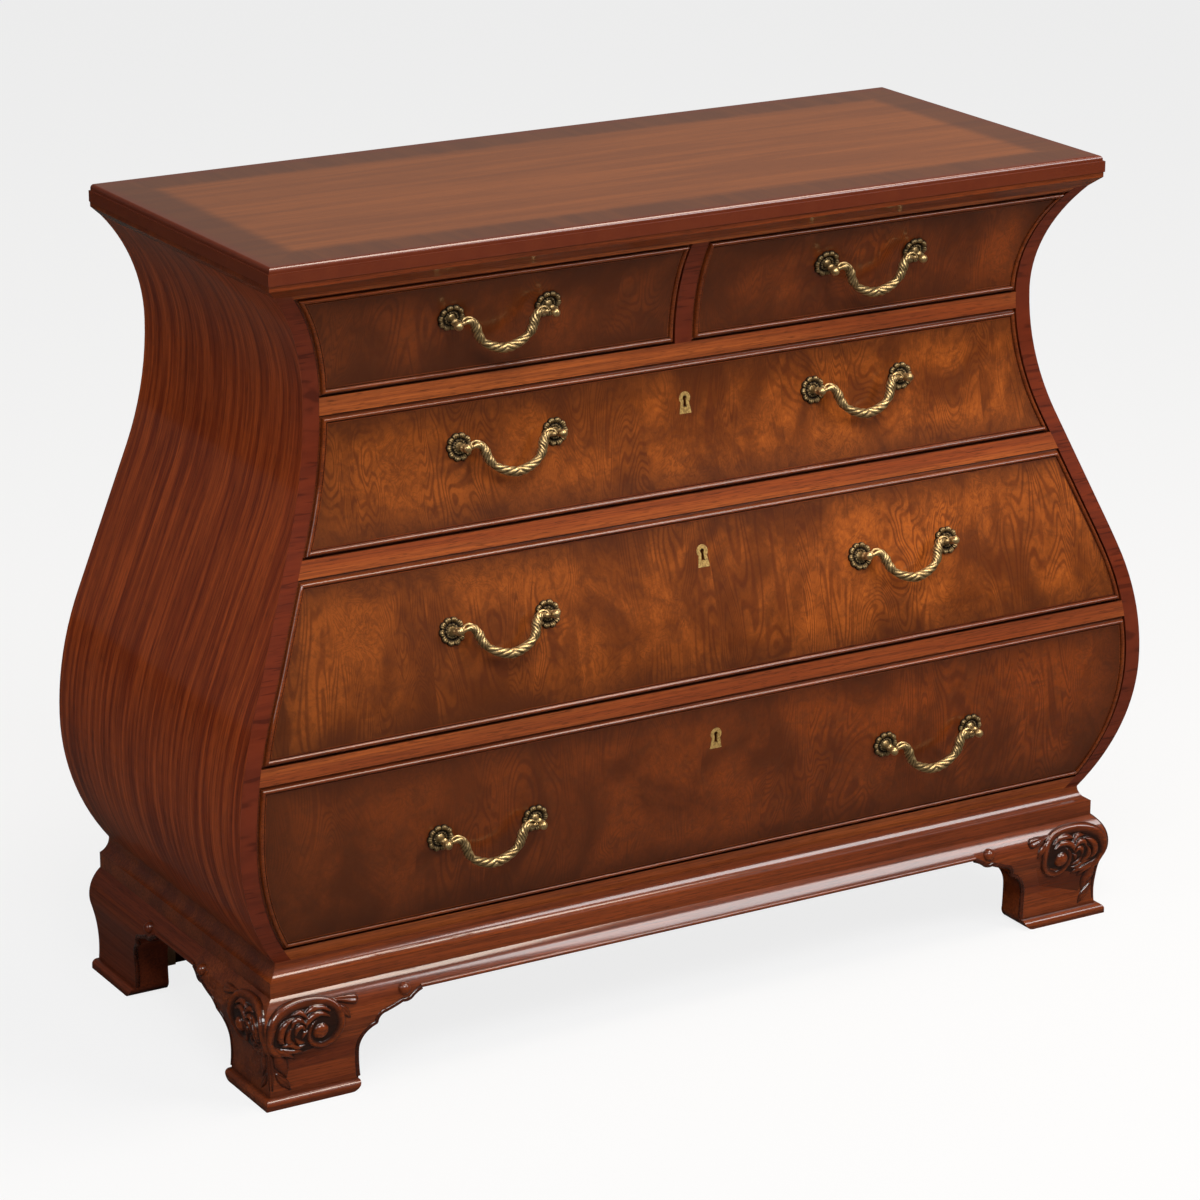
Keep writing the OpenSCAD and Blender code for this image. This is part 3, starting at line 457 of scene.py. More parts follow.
# %% Lamps
def soft_lamp(name, place, aim, width, height, power, colour=(1, 1, 1)):
    data = bpy.data.lights.new(name, "AREA")
    data.shape, data.size, data.size_y = "RECTANGLE", width, height
    data.energy, data.color = power, colour
    lamp = bpy.data.objects.new(name, data)
    bpy.context.scene.collection.objects.link(lamp)
    lamp.location = place
    lamp.rotation_euler = (Vector(aim) - Vector(place)).to_track_quat("-Z", "Y").to_euler()
    print(name, "lamp", power, "W")


MIDDLE = (0, 0, 0.45)
soft_lamp("key", (-1.5, -3.4, 4.2), MIDDLE, 2.9, 1.8, 205)
soft_lamp("left_fill", (-3.8, -0.6, 2.4), MIDDLE, 1.6, 1.6, 30)
soft_lamp("right_fill", (2.5, -3.0, 2.9), MIDDLE, 1.6, 1.6, 78)
soft_lamp("overhead", (1.1, -0.7, 3.3), (0.3, -0.3, 0.3), 1.8, 1.4, 100, (1.0, 0.9, 0.78))
soft_lamp("backdrop", (2.0, 3.4, 1.7), (0, 0, 0.9), 4.0, 1.6, 2.6, (1.0, 0.86, 0.7))

# %% [markdown]
# ## World and floor
# The camera sees a white world, but the chest is lit by very little of it, so its
# dark places stay dark. The floor looks nearly white and keeps a soft shadow. In
# reflections it is dark, so the lacquer mirrors no bright floor.

# %% World and floor
WORLD_LIGHT = 0.07
FLOOR_GLOW = 0.82  # share of the floor's look that is plain white
world = bpy.data.worlds.new("studio")
bpy.context.scene.world = world
world.use_nodes = True
tree = world.node_tree
tree.nodes.clear()
path = add_node(tree, "ShaderNodeLightPath").outputs
seen = maths(tree, "MAXIMUM", path["Is Camera Ray"], path["Is Transmission Ray"])
strength = ramp(tree, seen, 0, 1, WORLD_LIGHT, 1.0)
background = add_node(
    tree, "ShaderNodeBackground", {"Color": (1, 1, 1, 1), "Strength": strength}
)
add_node(tree, "ShaderNodeOutputWorld", {"Surface": background.outputs[0]})

floor_mesh = bmesh.new()
bmesh.ops.create_grid(floor_mesh, x_segments=1, y_segments=1, size=12)
floor_data = bpy.data.meshes.new("floor")
floor_mesh.to_mesh(floor_data)
floor_mesh.free()
floor = bpy.data.objects.new("floor", floor_data)
bpy.context.scene.collection.objects.link(floor)
floor_material, tree, shader = new_material("studio_floor")
path = add_node(tree, "ShaderNodeLightPath").outputs
feed(tree, shader, {
    "Base Color": blend_colours(
        tree, path["Is Glossy Ray"], (0.55, 0.55, 0.55, 1), (0.06, 0.055, 0.05, 1)
    ),
    "Roughness": 0.7,
    "Specular IOR Level": 0.0,
})
glow = add_node(tree, "ShaderNodeEmission", {"Color": (1, 1, 1, 1), "Strength": 1.0})
share = maths(tree, "MULTIPLY", path["Is Camera Ray"], FLOOR_GLOW)
mixed = add_node(
    tree, "ShaderNodeMixShader", {0: share, 1: shader.outputs[0], 2: glow.outputs[0]}
)
output = next(node for node in tree.nodes if node.type == "OUTPUT_MATERIAL")
tree.links.new(mixed.outputs[0], output.inputs[0])
floor_data.materials.append(floor_material)
bpy.context.scene.view_settings.view_transform = "Standard"
print("floor", len(floor_data.polygons), "face, world light", WORLD_LIGHT)

# %% [markdown]
# ## Walnut fronts
# Each drawer front gets its own seams between sheets of veneer and its own part of
# the figure, so no two fronts match. Painted shade darkens the wood towards the
# beads, so the shader measures how far a point is from its drawer's edge. More
# painted shade darkens the fronts a little towards the left end of the chest.


# %% Front veneers
VENEER_SHEET = 0.088  # width of one sheet
SHEET_STEP = 0.16  # how far the figure moves from one sheet to the next


def drawer_veneer(name, low, high, offset, tones, seam_shift):
    material, tree, shader = new_material(name)
    place = object_place(tree)
    split = add_node(tree, "ShaderNodeSeparateXYZ", {"Vector": place}).outputs
    across = maths(tree, "MULTIPLY_ADD", split["X"], 1 / VENEER_SHEET, 10 + seam_shift)
    sheet = maths(tree, "MULTIPLY_ADD", maths(tree, "FLOOR", across), SHEET_STEP, offset)
    veneer = use_group(tree, veneer_group, Vector=place, Sheet=sheet).outputs
    mottle = ramp(tree, add_noise(tree, place, 55, 6, 0.68, 0.9), 0.44, 0.66)
    # painted shade, darker towards the left end of the chest
    painted_left_shade = ramp(tree, split["X"], -0.55, 0.45, 0.46, 0.0)
    colour = blend_colours(tree, veneer["Clouds"], *tones)
    colour = tint(tree, colour, mottle, 0.55, rgb(84, 42, 18))
    colour = tint(tree, colour, veneer["Contours"], 0.62, rgb(76, 31, 11))
    colour = blend_colours(tree, painted_left_shade, colour, rgb(70, 33, 13))
    colour = tint(tree, colour, veneer["Flecks"], 0.34, rgb(70, 32, 12))
    end_gap = maths(tree, "MULTIPLY", edge_gap(tree, split["X"], low.x, high.x), 0.6)
    gap = maths(tree, "MINIMUM", edge_gap(tree, split["Z"], low.z, high.z), end_gap)
    # painted shade, darker towards the beads and the ends of the drawer
    shade = ramp(tree, gap, 0.006, 0.045, 0.6, 0.0)
    feed(tree, shader, {
        "Base Color": blend_colours(tree, shade, colour, rgb(58, 26, 11)),
        "Roughness": 0.33,
        "Normal": fine_bump(tree, veneer["Flecks"], 0.04, 0.0003),
        "Specular IOR Level": 0.12,
        "Coat Weight": 0.55,
        "Coat Roughness": 0.12,
    })
    return material


# %% [markdown]
# ## Old brass
# The pulls are cast brass, darkened all over and rubbed bright where hands touch.
# Tarnish stays in the corners and in the hollows of the casting.

# %% Old brass
brass, tree, shader = new_material("old_brass")
mottle = ramp(tree, add_noise(tree, object_place(tree), 260, 3), 0.35, 0.7)
colour = blend_colours(tree, mottle, rgb(200, 170, 118), rgb(150, 122, 80))
corner = use_group(tree, shade_tarnish_group, Reach=0.004, Depth=1.0).outputs["Shade And Tarnish"]
hollow = add_node(tree, "ShaderNodeAttribute", attribute_name="hollow").outputs["Fac"]
tarnish = maths(tree, "MAXIMUM", maths(tree, "MULTIPLY", corner, 0.9), hollow)
feed(tree, shader, {
    "Base Color": blend_colours(tree, tarnish, colour, rgb(34, 25, 16)),
    "Metallic": 0.85,
    "Roughness": maths(tree, "MULTIPLY_ADD", tarnish, 0.3, 0.33),
})
print(brass.name, len(tree.nodes), "nodes")

# %% [markdown]
# ## Plates of the keyholes
# The small plates round the keyholes are plain and dull, so they show no highlights.

# %% Plate brass
plate_brass, tree, shader = new_material("plate_brass")
mottle = ramp(tree, add_noise(tree, object_place(tree), 420, 3), 0.35, 0.65)
colour = blend_colours(tree, mottle, rgb(184, 150, 86), rgb(134, 104, 54))
corner = use_group(tree, shade_tarnish_group, Reach=0.002, Depth=1.0).outputs["Shade And Tarnish"]
feed(tree, shader, {
    "Base Color": blend_colours(tree, corner, colour, rgb(60, 42, 22)),
    "Metallic": 0.35,
    "Roughness": 0.5,
})
print(plate_brass.name, len(tree.nodes), "nodes")

# %% [markdown]
# ## Dress the CAD nodes
# Each node of the frame keeps its shape and gets the finish of its board. The
# fronts of the second and third rows get a paler, lit copy of the veneer, which is
# painted light; the other fronts get a darker, shaded copy, which is painted shade.
# The first pattern in the table that fits a node's name gives its finish.

# %% Assign finishes
ROWS = ["top_left", "top_right", "second", "third", "bottom"]
# lit and shaded copies of one veneer: painted light and painted shade
LIT_VENEER = rgb(94, 44, 13), rgb(160, 82, 27)
SHADED_VENEER = rgb(78, 33, 8), rgb(124, 55, 13)


def finish_node(name, material):
    mesh = nodes[name].data
    mesh.materials.clear()
    mesh.materials.append(material)


FINISHES = {
    "side_*": side_wood, "stile_*": upright_wood, "drawer_divider": upright_wood,
    "top_board": top_wood, "rail_*": frame_wood, "bottom_board*": frame_wood,
    "apron_left": base_side_wood, "apron_right": base_side_wood,
    "foot_back*": base_side_wood, "base_*": base_wood, "foot_front*": base_wood,
    "apron_*": base_wood, "top_moulding*": base_wood, "*_bead": bead_wood,
    "drawer_guides": lining_deep, "foot_blocks": lining_deep, "*_box": lining_deep,
    "back_panel": back_boards, "dust_panels": back_boards, "*_floor": lining_across,
    "*_escutcheon": plate_brass, "*_posts*": brass, "*_bail*": brass,
}
for name in nodes:
    fitting = [finish for pattern, finish in FINISHES.items() if fnmatch(name, pattern)]
    if fitting:
        finish_node(name, fitting[0])
for number, row in enumerate(ROWS):
    low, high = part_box(row + "_front")
    tones = LIT_VENEER if row in ("second", "third") else SHADED_VENEER
    veneer = drawer_veneer(row + "_veneer", low, high, number * 1.7, tones, number * 0.3)
    finish_node(row + "_front", veneer)
print("dressed", len(nodes), "nodes")

# %% [markdown]
# ## Shapes laid through rows of points
# Most of the pieces below are long or round: beads, bails, posts, lips and carved
# faces. Each is a sheet of quads whose rows follow the piece. The sheet is made as
# a flat grid, its points are moved into place, and its meeting edges are merged.


# %% Sheets of quads
def add_sheet(bm, points, around=False, along=False, hollow=None):
    """Adds rows of points as quads. around and along join the last to the first."""
    points = np.asarray(points, dtype=float)
    if hollow is not None:
        points = np.concatenate([points, np.asarray(hollow)[..., None]], axis=2)
    if around:
        points = np.concatenate([points, points[:, :1]], axis=1)
    if along:
        points = np.concatenate([points, points[:1]], axis=0)
    rows, columns = points.shape[:2]
    layer = bm.verts.layers.float.get("hollow")
    if hollow is not None and layer is None:
        layer = bm.verts.layers.float.new("hollow")
    made = bmesh.ops.create_grid(bm, x_segments=columns - 1, y_segments=rows - 1, size=1)["verts"]
    for vert, point in zip(made, points.reshape(rows * columns, -1)):
        vert.co = point[:3]
        if hollow is not None:
            vert[layer] = point[3]
    bmesh.ops.remove_doubles(bm, verts=made, dist=2e-7)
    rims = [edge for edge in bm.edges if edge.is_boundary]
    if rims:
        bmesh.ops.holes_fill(bm, edges=rims, sides=0)


def add_piece(name, bm, material, body, replaced=(), sharp=38):
    bmesh.ops.recalc_face_normals(bm, faces=bm.faces)
    mesh = bpy.data.meshes.new(name)
    bm.to_mesh(mesh)
    bm.free()
    mesh.shade_smooth()
    mesh.set_sharp_from_angle(angle=math.radians(sharp))
    mesh.materials.append(material)
    obj = bpy.data.objects.new(name, mesh)
    bpy.context.scene.collection.objects.link(obj)
    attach(obj, body)
    if replaced:
        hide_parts(*replaced)
    print(name, len(mesh.polygons), "faces")


def curve_through(points, count):
    """A smooth curve through a few points, sampled at even steps of its length."""
    points = np.asarray(points, dtype=float)
    ends = np.concatenate([[2 * points[0] - points[1]], points, [2 * points[-1] - points[-2]]])
    pieces = []
    for a, b, c, d in zip(ends, ends[1:], ends[2:], ends[3:]):
        t = np.linspace(0, 1, 16, endpoint=False)[:, None]
        square, cube = 2 * a - 5 * b + 4 * c - d, 3 * b - a - 3 * c + d
        pieces.append(0.5 * (2 * b + (c - a) * t + square * t**2 + cube * t**3))
    fine = np.concatenate(pieces + [points[-1:]])
    run = np.concatenate([[0], np.cumsum(np.linalg.norm(np.diff(fine, axis=0), axis=1))])
    steps = np.linspace(0, run[-1], count)
    return np.stack([np.interp(steps, run, column) for column in fine.T], axis=1), steps


def unit(vectors):
    return vectors / np.linalg.norm(vectors, axis=-1, keepdims=True)


def tube_points(path, radii, across):
    """Rings round a path. across is a direction, or one per point, kept square to it."""
    ahead = unit(np.gradient(path, axis=0))
    across = np.broadcast_to(np.asarray(across, dtype=float), path.shape)
    aside = unit(np.cross(ahead, across))
    upward = np.cross(aside, ahead)
    turns = np.linspace(0, 2 * np.pi, radii.shape[1], endpoint=False)
    return path[:, None] + radii[:, :, None] * (
        np.cos(turns)[None, :, None] * aside[:, None]
        + np.sin(turns)[None, :, None] * upward[:, None]
    )


def lathe_points(profile, segments):
    """A turned shape about Z. profile lists radius and height."""
    turns = np.linspace(0, 2 * np.pi, segments, endpoint=False)
    profile = np.asarray(profile, dtype=float)
    return np.stack(
        [
            profile[:, :1] * np.cos(turns),
            profile[:, :1] * np.sin(turns),
            np.repeat(profile[:, 1:], segments, axis=1),
        ],
        axis=2,
    )


# %% [markdown]
# ## The swell
# Front and sides share one kind of curve: a tight tuck under the belly, a long
# lean up to the waist, and a flare out to the top. The same radii as in the CAD
# model are used here, so the new pieces lie exactly on its faces.

# %% Swell curves
SIDE = dict(
    belly=0.579, belly_z=0.314, waist=0.4593, waist_z=0.756,
    tuck=0.255, flare=0.181, bend=0.37598, lean=math.radians(22.0538),
)
FRONT = dict(
    belly=0.462, belly_z=0.340, waist=0.3868, waist_z=0.760,
    tuck=0.465, flare=0.204, bend=0.54997, lean=math.radians(15.6012),
)
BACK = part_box("side_left")[1].y
WALL, DRAWER_GAP, DIVIDER = 0.019, 0.0015, 0.021
BASE_HALF, BASE_D, BULGE = 0.53625, 0.4362, 0.015


def swell_out(curve, z):
    """Distance out to the surface at a height."""
    belly, tuck, bend, lean = (curve[part] for part in ("belly", "tuck", "bend", "lean"))
    rise, over_waist = z - curve["belly_z"], z - curve["waist_z"]
    low = curve["belly_z"] + bend * math.sin(lean)
    high = curve["waist_z"] - bend * math.sin(lean)
    if z < curve["belly_z"]:
        return belly - tuck + math.sqrt(tuck**2 - rise**2)
    if z < low:
        return belly - bend + math.sqrt(bend**2 - rise**2)
    if z < high:
        return belly - bend * (1 - math.cos(lean)) - (z - low) * math.tan(lean)
    radius = bend if z < curve["waist_z"] else curve["flare"]
    return curve["waist"] + radius - math.sqrt(radius**2 - over_waist**2)


def swell_tip(curve, z):
    """Angle by which the surface faces up at a height."""
    step = 1e-3
    return math.atan2(swell_out(curve, z - step / 2) - swell_out(curve, z + step / 2), step)


belly_out, waist_out = (swell_out(SIDE, SIDE[level]) for level in ("belly_z", "waist_z"))
print("belly to waist", round(belly_out - waist_out, 4), "m")

# %% [markdown]
# ## Cock beads
# A thin bead stands proud round each drawer front. It is bent to both curves and
# mitred at the corners, and hides the edge of the veneer. Its section is swept
# round the drawer: up the swelled edge, across, down and back. Each point of the
# section lists how far it lies inward from the drawer's edge and proud of its face.

# %% Section of the bead
BEAD = 0.0085  # how far a bead reaches inward
MITRE = (0, 0.001, 0.006)  # rings close to a corner keep its mitre crisp
SECTION = [(0.1, -4.8), (0.1, -2.6), (1.7, -2.4)]
SECTION += [(4.1 - 2.2 * math.cos(t), 0.1 + 2.8 * math.sin(t))
            for t in np.linspace(0.0, math.pi, 15)]
SECTION += [(6.6, -0.4), (7.1, -0.4), (7.4, 0.12), (8.35, 0.12), (8.35, -4.8)]
SECTION = np.array(SECTION) / 1000
OPENINGS = {
    "top_left": (0.7565, 0.8745, -1), "top_right": (0.7565, 0.8745, 1),
    "second": (0.593, 0.7375, 0), "third": (0.3915, 0.574, 0), "bottom": (0.172, 0.3725, 0),
}
print("bead section", len(SECTION), "points")

# %% [markdown]
# An opening lists its lower and upper height and which half of the chest it is in.
# A ring of the sweep lies on the side edge or on the edge towards the middle, at a
# height or at a corner. In a corner the ring is slanted, which makes the mitre.


# %% Beads
def bead_ring(floor, ceiling, hand, edge, z, corner, slide=0.0):
    ring = []
    for inward, proud in SECTION:
        low, high = floor + DRAWER_GAP, ceiling - DRAWER_GAP
        h = high - inward if corner > 0 else low + inward if corner < 0 else z
        swelled = swell_out(SIDE, h) - WALL - DRAWER_GAP - inward
        x = swelled if edge > 0 else -swelled if hand == 0 else DIVIDER / 2 + DRAWER_GAP + inward
        x -= edge * slide
        ring.append(((-1 if hand < 0 else 1) * x, BACK - swell_out(FRONT, h) - proud, h))
    return ring


def make_bead(row, floor, ceiling, hand):
    low, high = floor + DRAWER_GAP + BEAD, ceiling - DRAWER_GAP - BEAD
    levels = [low + 0.001] + list(np.linspace(low + 0.004, high - 0.004, 24)) + [high - 0.001]
    rings = [bead_ring(floor, ceiling, hand, 1, 0, -1)]
    rings += [bead_ring(floor, ceiling, hand, 1, z, 0) for z in levels]
    for edge, slides in ((1, MITRE), (-1, MITRE[::-1])):
        rings += [bead_ring(floor, ceiling, hand, edge, 0, 1, slide) for slide in slides]
    rings += [bead_ring(floor, ceiling, hand, -1, z, 0) for z in reversed(levels)]
    for edge, slides in ((-1, MITRE), (1, MITRE[:0:-1])):
        rings += [bead_ring(floor, ceiling, hand, edge, 0, -1, slide) for slide in slides]
    bm = bmesh.new()
    add_sheet(bm, rings, around=True, along=True)
    add_piece(row + "_smooth_bead", bm, bead_wood, row + "_drawer",
              [row + "_bead"])


for row, (floor, ceiling, hand) in OPENINGS.items():
    make_bead(row, floor, ceiling, hand)

# %% [markdown]
# ## Roped bails
# Each pull is a cast bail that swings from two posts. Near a post the arm ends in
# a small ball and a curl. A leaf wraps the arm, and the grip is roped like a
# twisted cord, with the twist turning the other way past the middle. One bail is
# shaped about its own axis, then copied to every pull.

# %% Bails
MM = 0.001
ARM = [(4.6, 0), (9, 0.2), (14, 1.2), (18.5, 0.2), (22, -4.6), (24, -10.6), (26.2, -16.2),
       (30, -21.3), (36, -26), (44, -29.7), (52, -32.1)]
HALF = 58.0  # from the middle of a pull to a post
ROPE_TURN, LEAF_TURN, FRILL = 43, 25, 10.4  # mm of arm for one turn or one leaf


def bail_points():
    """Points and hollows of one bail about its own axis, in mm."""
    left = [(x - HALF, y, 0) for x, y in ARM]
    right = [(HALF - x, y, 0) for x, y in reversed(ARM)]
    path, run = curve_through(left + [(0, -32.7, 0)] + right, 181)
    near = np.minimum(run, run[-1] - run)
    key_run = [0, 2, 3.4, 5.2, 8, 12, 17, 23, 30, 36, 39.5, 41, 50, 60, 73]
    key_radius = [1.5, 1.6, 2.8, 1.8, 2.8, 3.9, 4.8, 5.2, 5.0, 4.6, 4.3, 4.3, 5.0, 5.4, 5.6]
    radius = np.interp(near, key_run, key_radius)[:, None]
    turns = np.linspace(0, 2 * np.pi, 36, endpoint=False)[None, :]
    strand = np.abs(np.cos(2.5 * (turns - near[:, None] * 2 * np.pi / ROPE_TURN)))
    roped = 0.71 + 0.29 * strand**0.5
    frill = np.abs(np.sin(np.pi * (near[:, None] - 8) / FRILL))
    fold = np.abs(np.cos(3 * (turns + near[:, None] * 2 * np.pi / LEAF_TURN)))
    leafy = 0.8 + 0.26 * fold**0.6 + 0.14 * (frill - 0.6)
    in_rope = 1 / (1 + np.exp(-(near[:, None] - 40) / 0.5))
    in_leaf = (1 - in_rope) / (1 + np.exp(-(near[:, None] - 10) / 0.7))
    plain = 1 - in_rope - in_leaf
    hollow = in_rope * (1 - strand) ** 1.3 + in_leaf * (1 - fold) ** 1.2
    shape = radius * (plain + in_leaf * leafy + in_rope * roped)
    return tube_points(path, shape, (0, 0, 1)), np.clip(hollow, 0, 1)


def curl_points(hand):
    curl = [(20.5, 0.5), (17.5, 4.2), (12.5, 5.6), (8.2, 4.4), (6.6, 1.6), (8.3, -0.6)]
    path, run = curve_through([(hand * (x - HALF), y, 0) for x, y in curl], 30)
    radius = np.interp(run, [0, run[-1] * 0.7, run[-1]], [2.1, 1.3, 1.7])
    return tube_points(path, np.repeat(radius[:, None], 10, axis=1), (0, 0, 1))


bail_body, bail_hollow = bail_points()
BAIL_SHEETS = [(bail_body * MM, bail_hollow)]
BAIL_SHEETS += [(curl_points(hand) * MM, None) for hand in (1, -1)]
print("bail reaches", round(-bail_body[..., 1].min(), 1), "mm below its axis")

# %% [markdown]
# The table gives each row's height and the middle of each of its pulls, as in the
# CAD model. The axis stands off the front, square to the swell. A resting bail
# leans out from the face, or hangs plumb where the front leans forward.

# %% Hang the bails
STAND_OFF, REST_LEAN = 0.015, math.radians(9.5)
PULLS = {
    "top_left": (0.826, {"bail": -0.2335}), "top_right": (0.826, {"bail": 0.2335}),
    "second": (0.682, {"bail_left": -0.222, "bail_right": 0.222}),
    "third": (0.4965, {"bail_left": -0.258, "bail_right": 0.258}),
    "bottom": (0.275, {"bail_left": -0.285, "bail_right": 0.285}),
}


def place_points(points, x, origin, tilt):
    """Moves points by x and a turn about the X axis through the origin point."""
    turned = np.empty_like(points)
    turned[..., 0] = points[..., 0] + x
    turned[..., 1] = origin[0] + points[..., 1] * math.cos(tilt) - points[..., 2] * math.sin(tilt)
    turned[..., 2] = origin[1] + points[..., 1] * math.sin(tilt) + points[..., 2] * math.cos(tilt)
    return turned


for row, (height, bails) in PULLS.items():
    tip = swell_tip(FRONT, height)
    rest = max(0, tip + REST_LEAN)
    face_y = BACK - swell_out(FRONT, height)
    axis = (face_y - STAND_OFF * math.cos(tip), height + STAND_OFF * math.sin(tip))
    for label, x in bails.items():
        bm = bmesh.new()
        for sheet, hollow in BAIL_SHEETS:
            placed = place_points(sheet, x, axis, math.pi / 2 - rest)
            add_sheet(bm, placed, around=True, hollow=hollow)
        add_piece(f"{row}_roped_{label}", bm, brass, f"{row}_{label}",
                  [f"{row}_{label}"], sharp=70)

# %% [markdown]
# ## Roses and posts
# Behind each post sits a cast rose, a ring of curled leaves with veins. The post
# is turned and ends in a polished ball. Its thin shank runs through the drawer
# front to a nut inside. The rose starts as a turned disc whose points are then
# moved out and in to raise the leaves.

# %% Roses
ROSE_RADIUS, LEAVES, VEINS, PETALS = 15.7, 10, 30, 16
ROSE_PROFILE = [
    (0.2, 0.9), (0.3, 0.9), (0.36, 1.7), (0.42, 2.7), (0.48, 2.8), (0.54, 1.7), (0.6, 1.4),
    (0.66, 2.0), (0.72, 2.7), (0.78, 3.3), (0.84, 3.6), (0.89, 3.4), (0.93, 2.9), (0.97, 2.1),
    (1.0, 1.2), (1.0, 0.0), (0.6, -0.1), (0.2, -0.1),
]


def rose_points():
    """Points and hollows of one rose, in mm. The profile lists radius share and height."""
    share, height = np.array(ROSE_PROFILE).T[..., None]
    turns = np.linspace(0, 2 * np.pi, 160, endpoint=False)[None, :]
    leaf = np.abs(np.cos(LEAVES / 2 * turns))
    window = np.clip((share - 0.5) / 0.15, 0, 1) * (height > 0.5)
    rim = ROSE_RADIUS * (1 - 0.11 * (1 - leaf) ** 1.5)
    radius = share * rim
    inner = np.exp(-(((share - 0.45) / 0.07) ** 2)) * (height > 0.5)
    raised = height + window * (1.3 * (leaf**0.7 - 0.62) + 0.35 * np.cos(VEINS * turns))
    raised = raised + inner * 0.5 * np.cos(PETALS * turns)
    raised = np.where(height > 0.5, np.maximum(raised, 0.5), height)
    shape = np.broadcast_arrays(radius * np.cos(turns), radius * np.sin(turns), raised)
    return np.stack(shape, axis=2), np.clip(1.65 - raised / 3.0, 0.2, 1)


print("rose height", round(rose_points()[0][..., 2].max(), 2), "mm")

# %% [markdown]
# Post and nut are lathe profiles of radius and height over the drawer's face, in
# mm. Where the front curves in at the waist a rose is lifted a little, so its rim
# doesn't sink into the hollow.

# %% Posts and nuts
LIFT = {"top_left": 0.55, "top_right": 0.55, "second": 0.2}
POST = [(0, -29), (2.5, -29), (2.5, 0.4), (5.6, 0.5), (5.8, 1.6), (4.6, 2.6), (3.6, 4), (3.1, 7),
        (3.3, 9.5), (4.3, 10.6), (4.3, 11.6), (3.4, 12.6), (3.0, 14.0)]
POST += [(4.8 * math.sin(t), 19.5 - 4.8 * math.cos(t)) for t in np.linspace(0.68, math.pi, 15)]
NUT = [(0, -25.6), (5, -25.6), (5, -21.6), (0, -21.6)]

for row, (height, bails) in PULLS.items():
    tip = swell_tip(FRONT, height)
    origin = (BACK - swell_out(FRONT, height), height)
    lift = LIFT.get(row, 0.0)
    bm = bmesh.new()
    for x in bails.values():
        for end in (-1, 1):
            at = (x + end * HALF * MM, origin, math.pi / 2 - tip)
            rose, hollow = rose_points()
            placed = place_points((rose + (0, 0, lift)) * MM, *at)
            add_sheet(bm, placed, around=True, along=True, hollow=hollow)
            add_sheet(bm, place_points(lathe_points(POST, 28) * MM, *at), around=True)
            add_sheet(bm, place_points(lathe_points(NUT, 6) * MM, *at), around=True)
    add_piece(row + "_roses_and_posts", bm, brass, row + "_drawer",
              [row + "_posts"], sharp=50)

# %% [markdown]
# ## Carved knees
# The front feet are carved on both faces: a scroll climbs the corner, runs over
# the top and curls round a ball, with leaves inside it and below it. The carving
# is a relief. Every stroke of the chisel is a curve with a width and a height, and
# the highest stroke wins at each point of a fine grid. The grid follows the ogee
# of the foot and dips under its face where nothing is carved.


# %% Ogee of the feet
def ogee(z):
    """How far the foot stands out past its face at a height, both in mm."""
    z = np.asarray(z, dtype=float)
    upper = -24.53 + np.sqrt(np.maximum(39.53**2 - (z - 91) ** 2, 1))
    lower = 168.9 - np.sqrt(163.9**2 - (z - 28) ** 2)
    return np.where(z >= 78.8, upper, lower)


def ogee_slope(z):
    step = 0.1
    return (ogee(z + step / 2) - ogee(z - step / 2)) / step


print("ogee at ankle and shoulder", round(float(ogee(28)), 1), round(float(ogee(91)), 1), "mm")

# %% [markdown]
# Each stroke lists points across from the corner and up, then its widths and its
# heights at those points, all in mm. The first stroke is the scroll.

# %% Strokes of the chisel
SCROLL = [
    (6.5, 56), (5.6, 68), (5.2, 82), (7.5, 95), (13.5, 104), (25, 110), (40, 113.2),
    (58, 113.6), (74, 111), (83.5, 105.5), (88.5, 97), (90.2, 87), (89, 77), (84, 68.5),
    (76, 63.2), (67.5, 62.2), (59.5, 65.5), (54.3, 72), (52.8, 80), (55, 88), (60, 93),
]
SCROLL_WIDTHS = [
    2, 4, 5.6, 6.2, 6.4, 6.2, 5.6, 5.2, 5, 5, 5, 4.8, 4.6, 4.4, 4.2, 4, 3.6, 3.2, 2.8, 2.2, 1.4,
]
SCROLL_HEIGHTS = [
    2, 3.2, 4.4, 5, 5.2, 5, 4.6, 4.4, 4.4, 4.6, 4.8, 4.8, 4.6, 4.4, 4.2, 3.8, 3.4, 3, 2.6, 2.2,
    1.4,
]
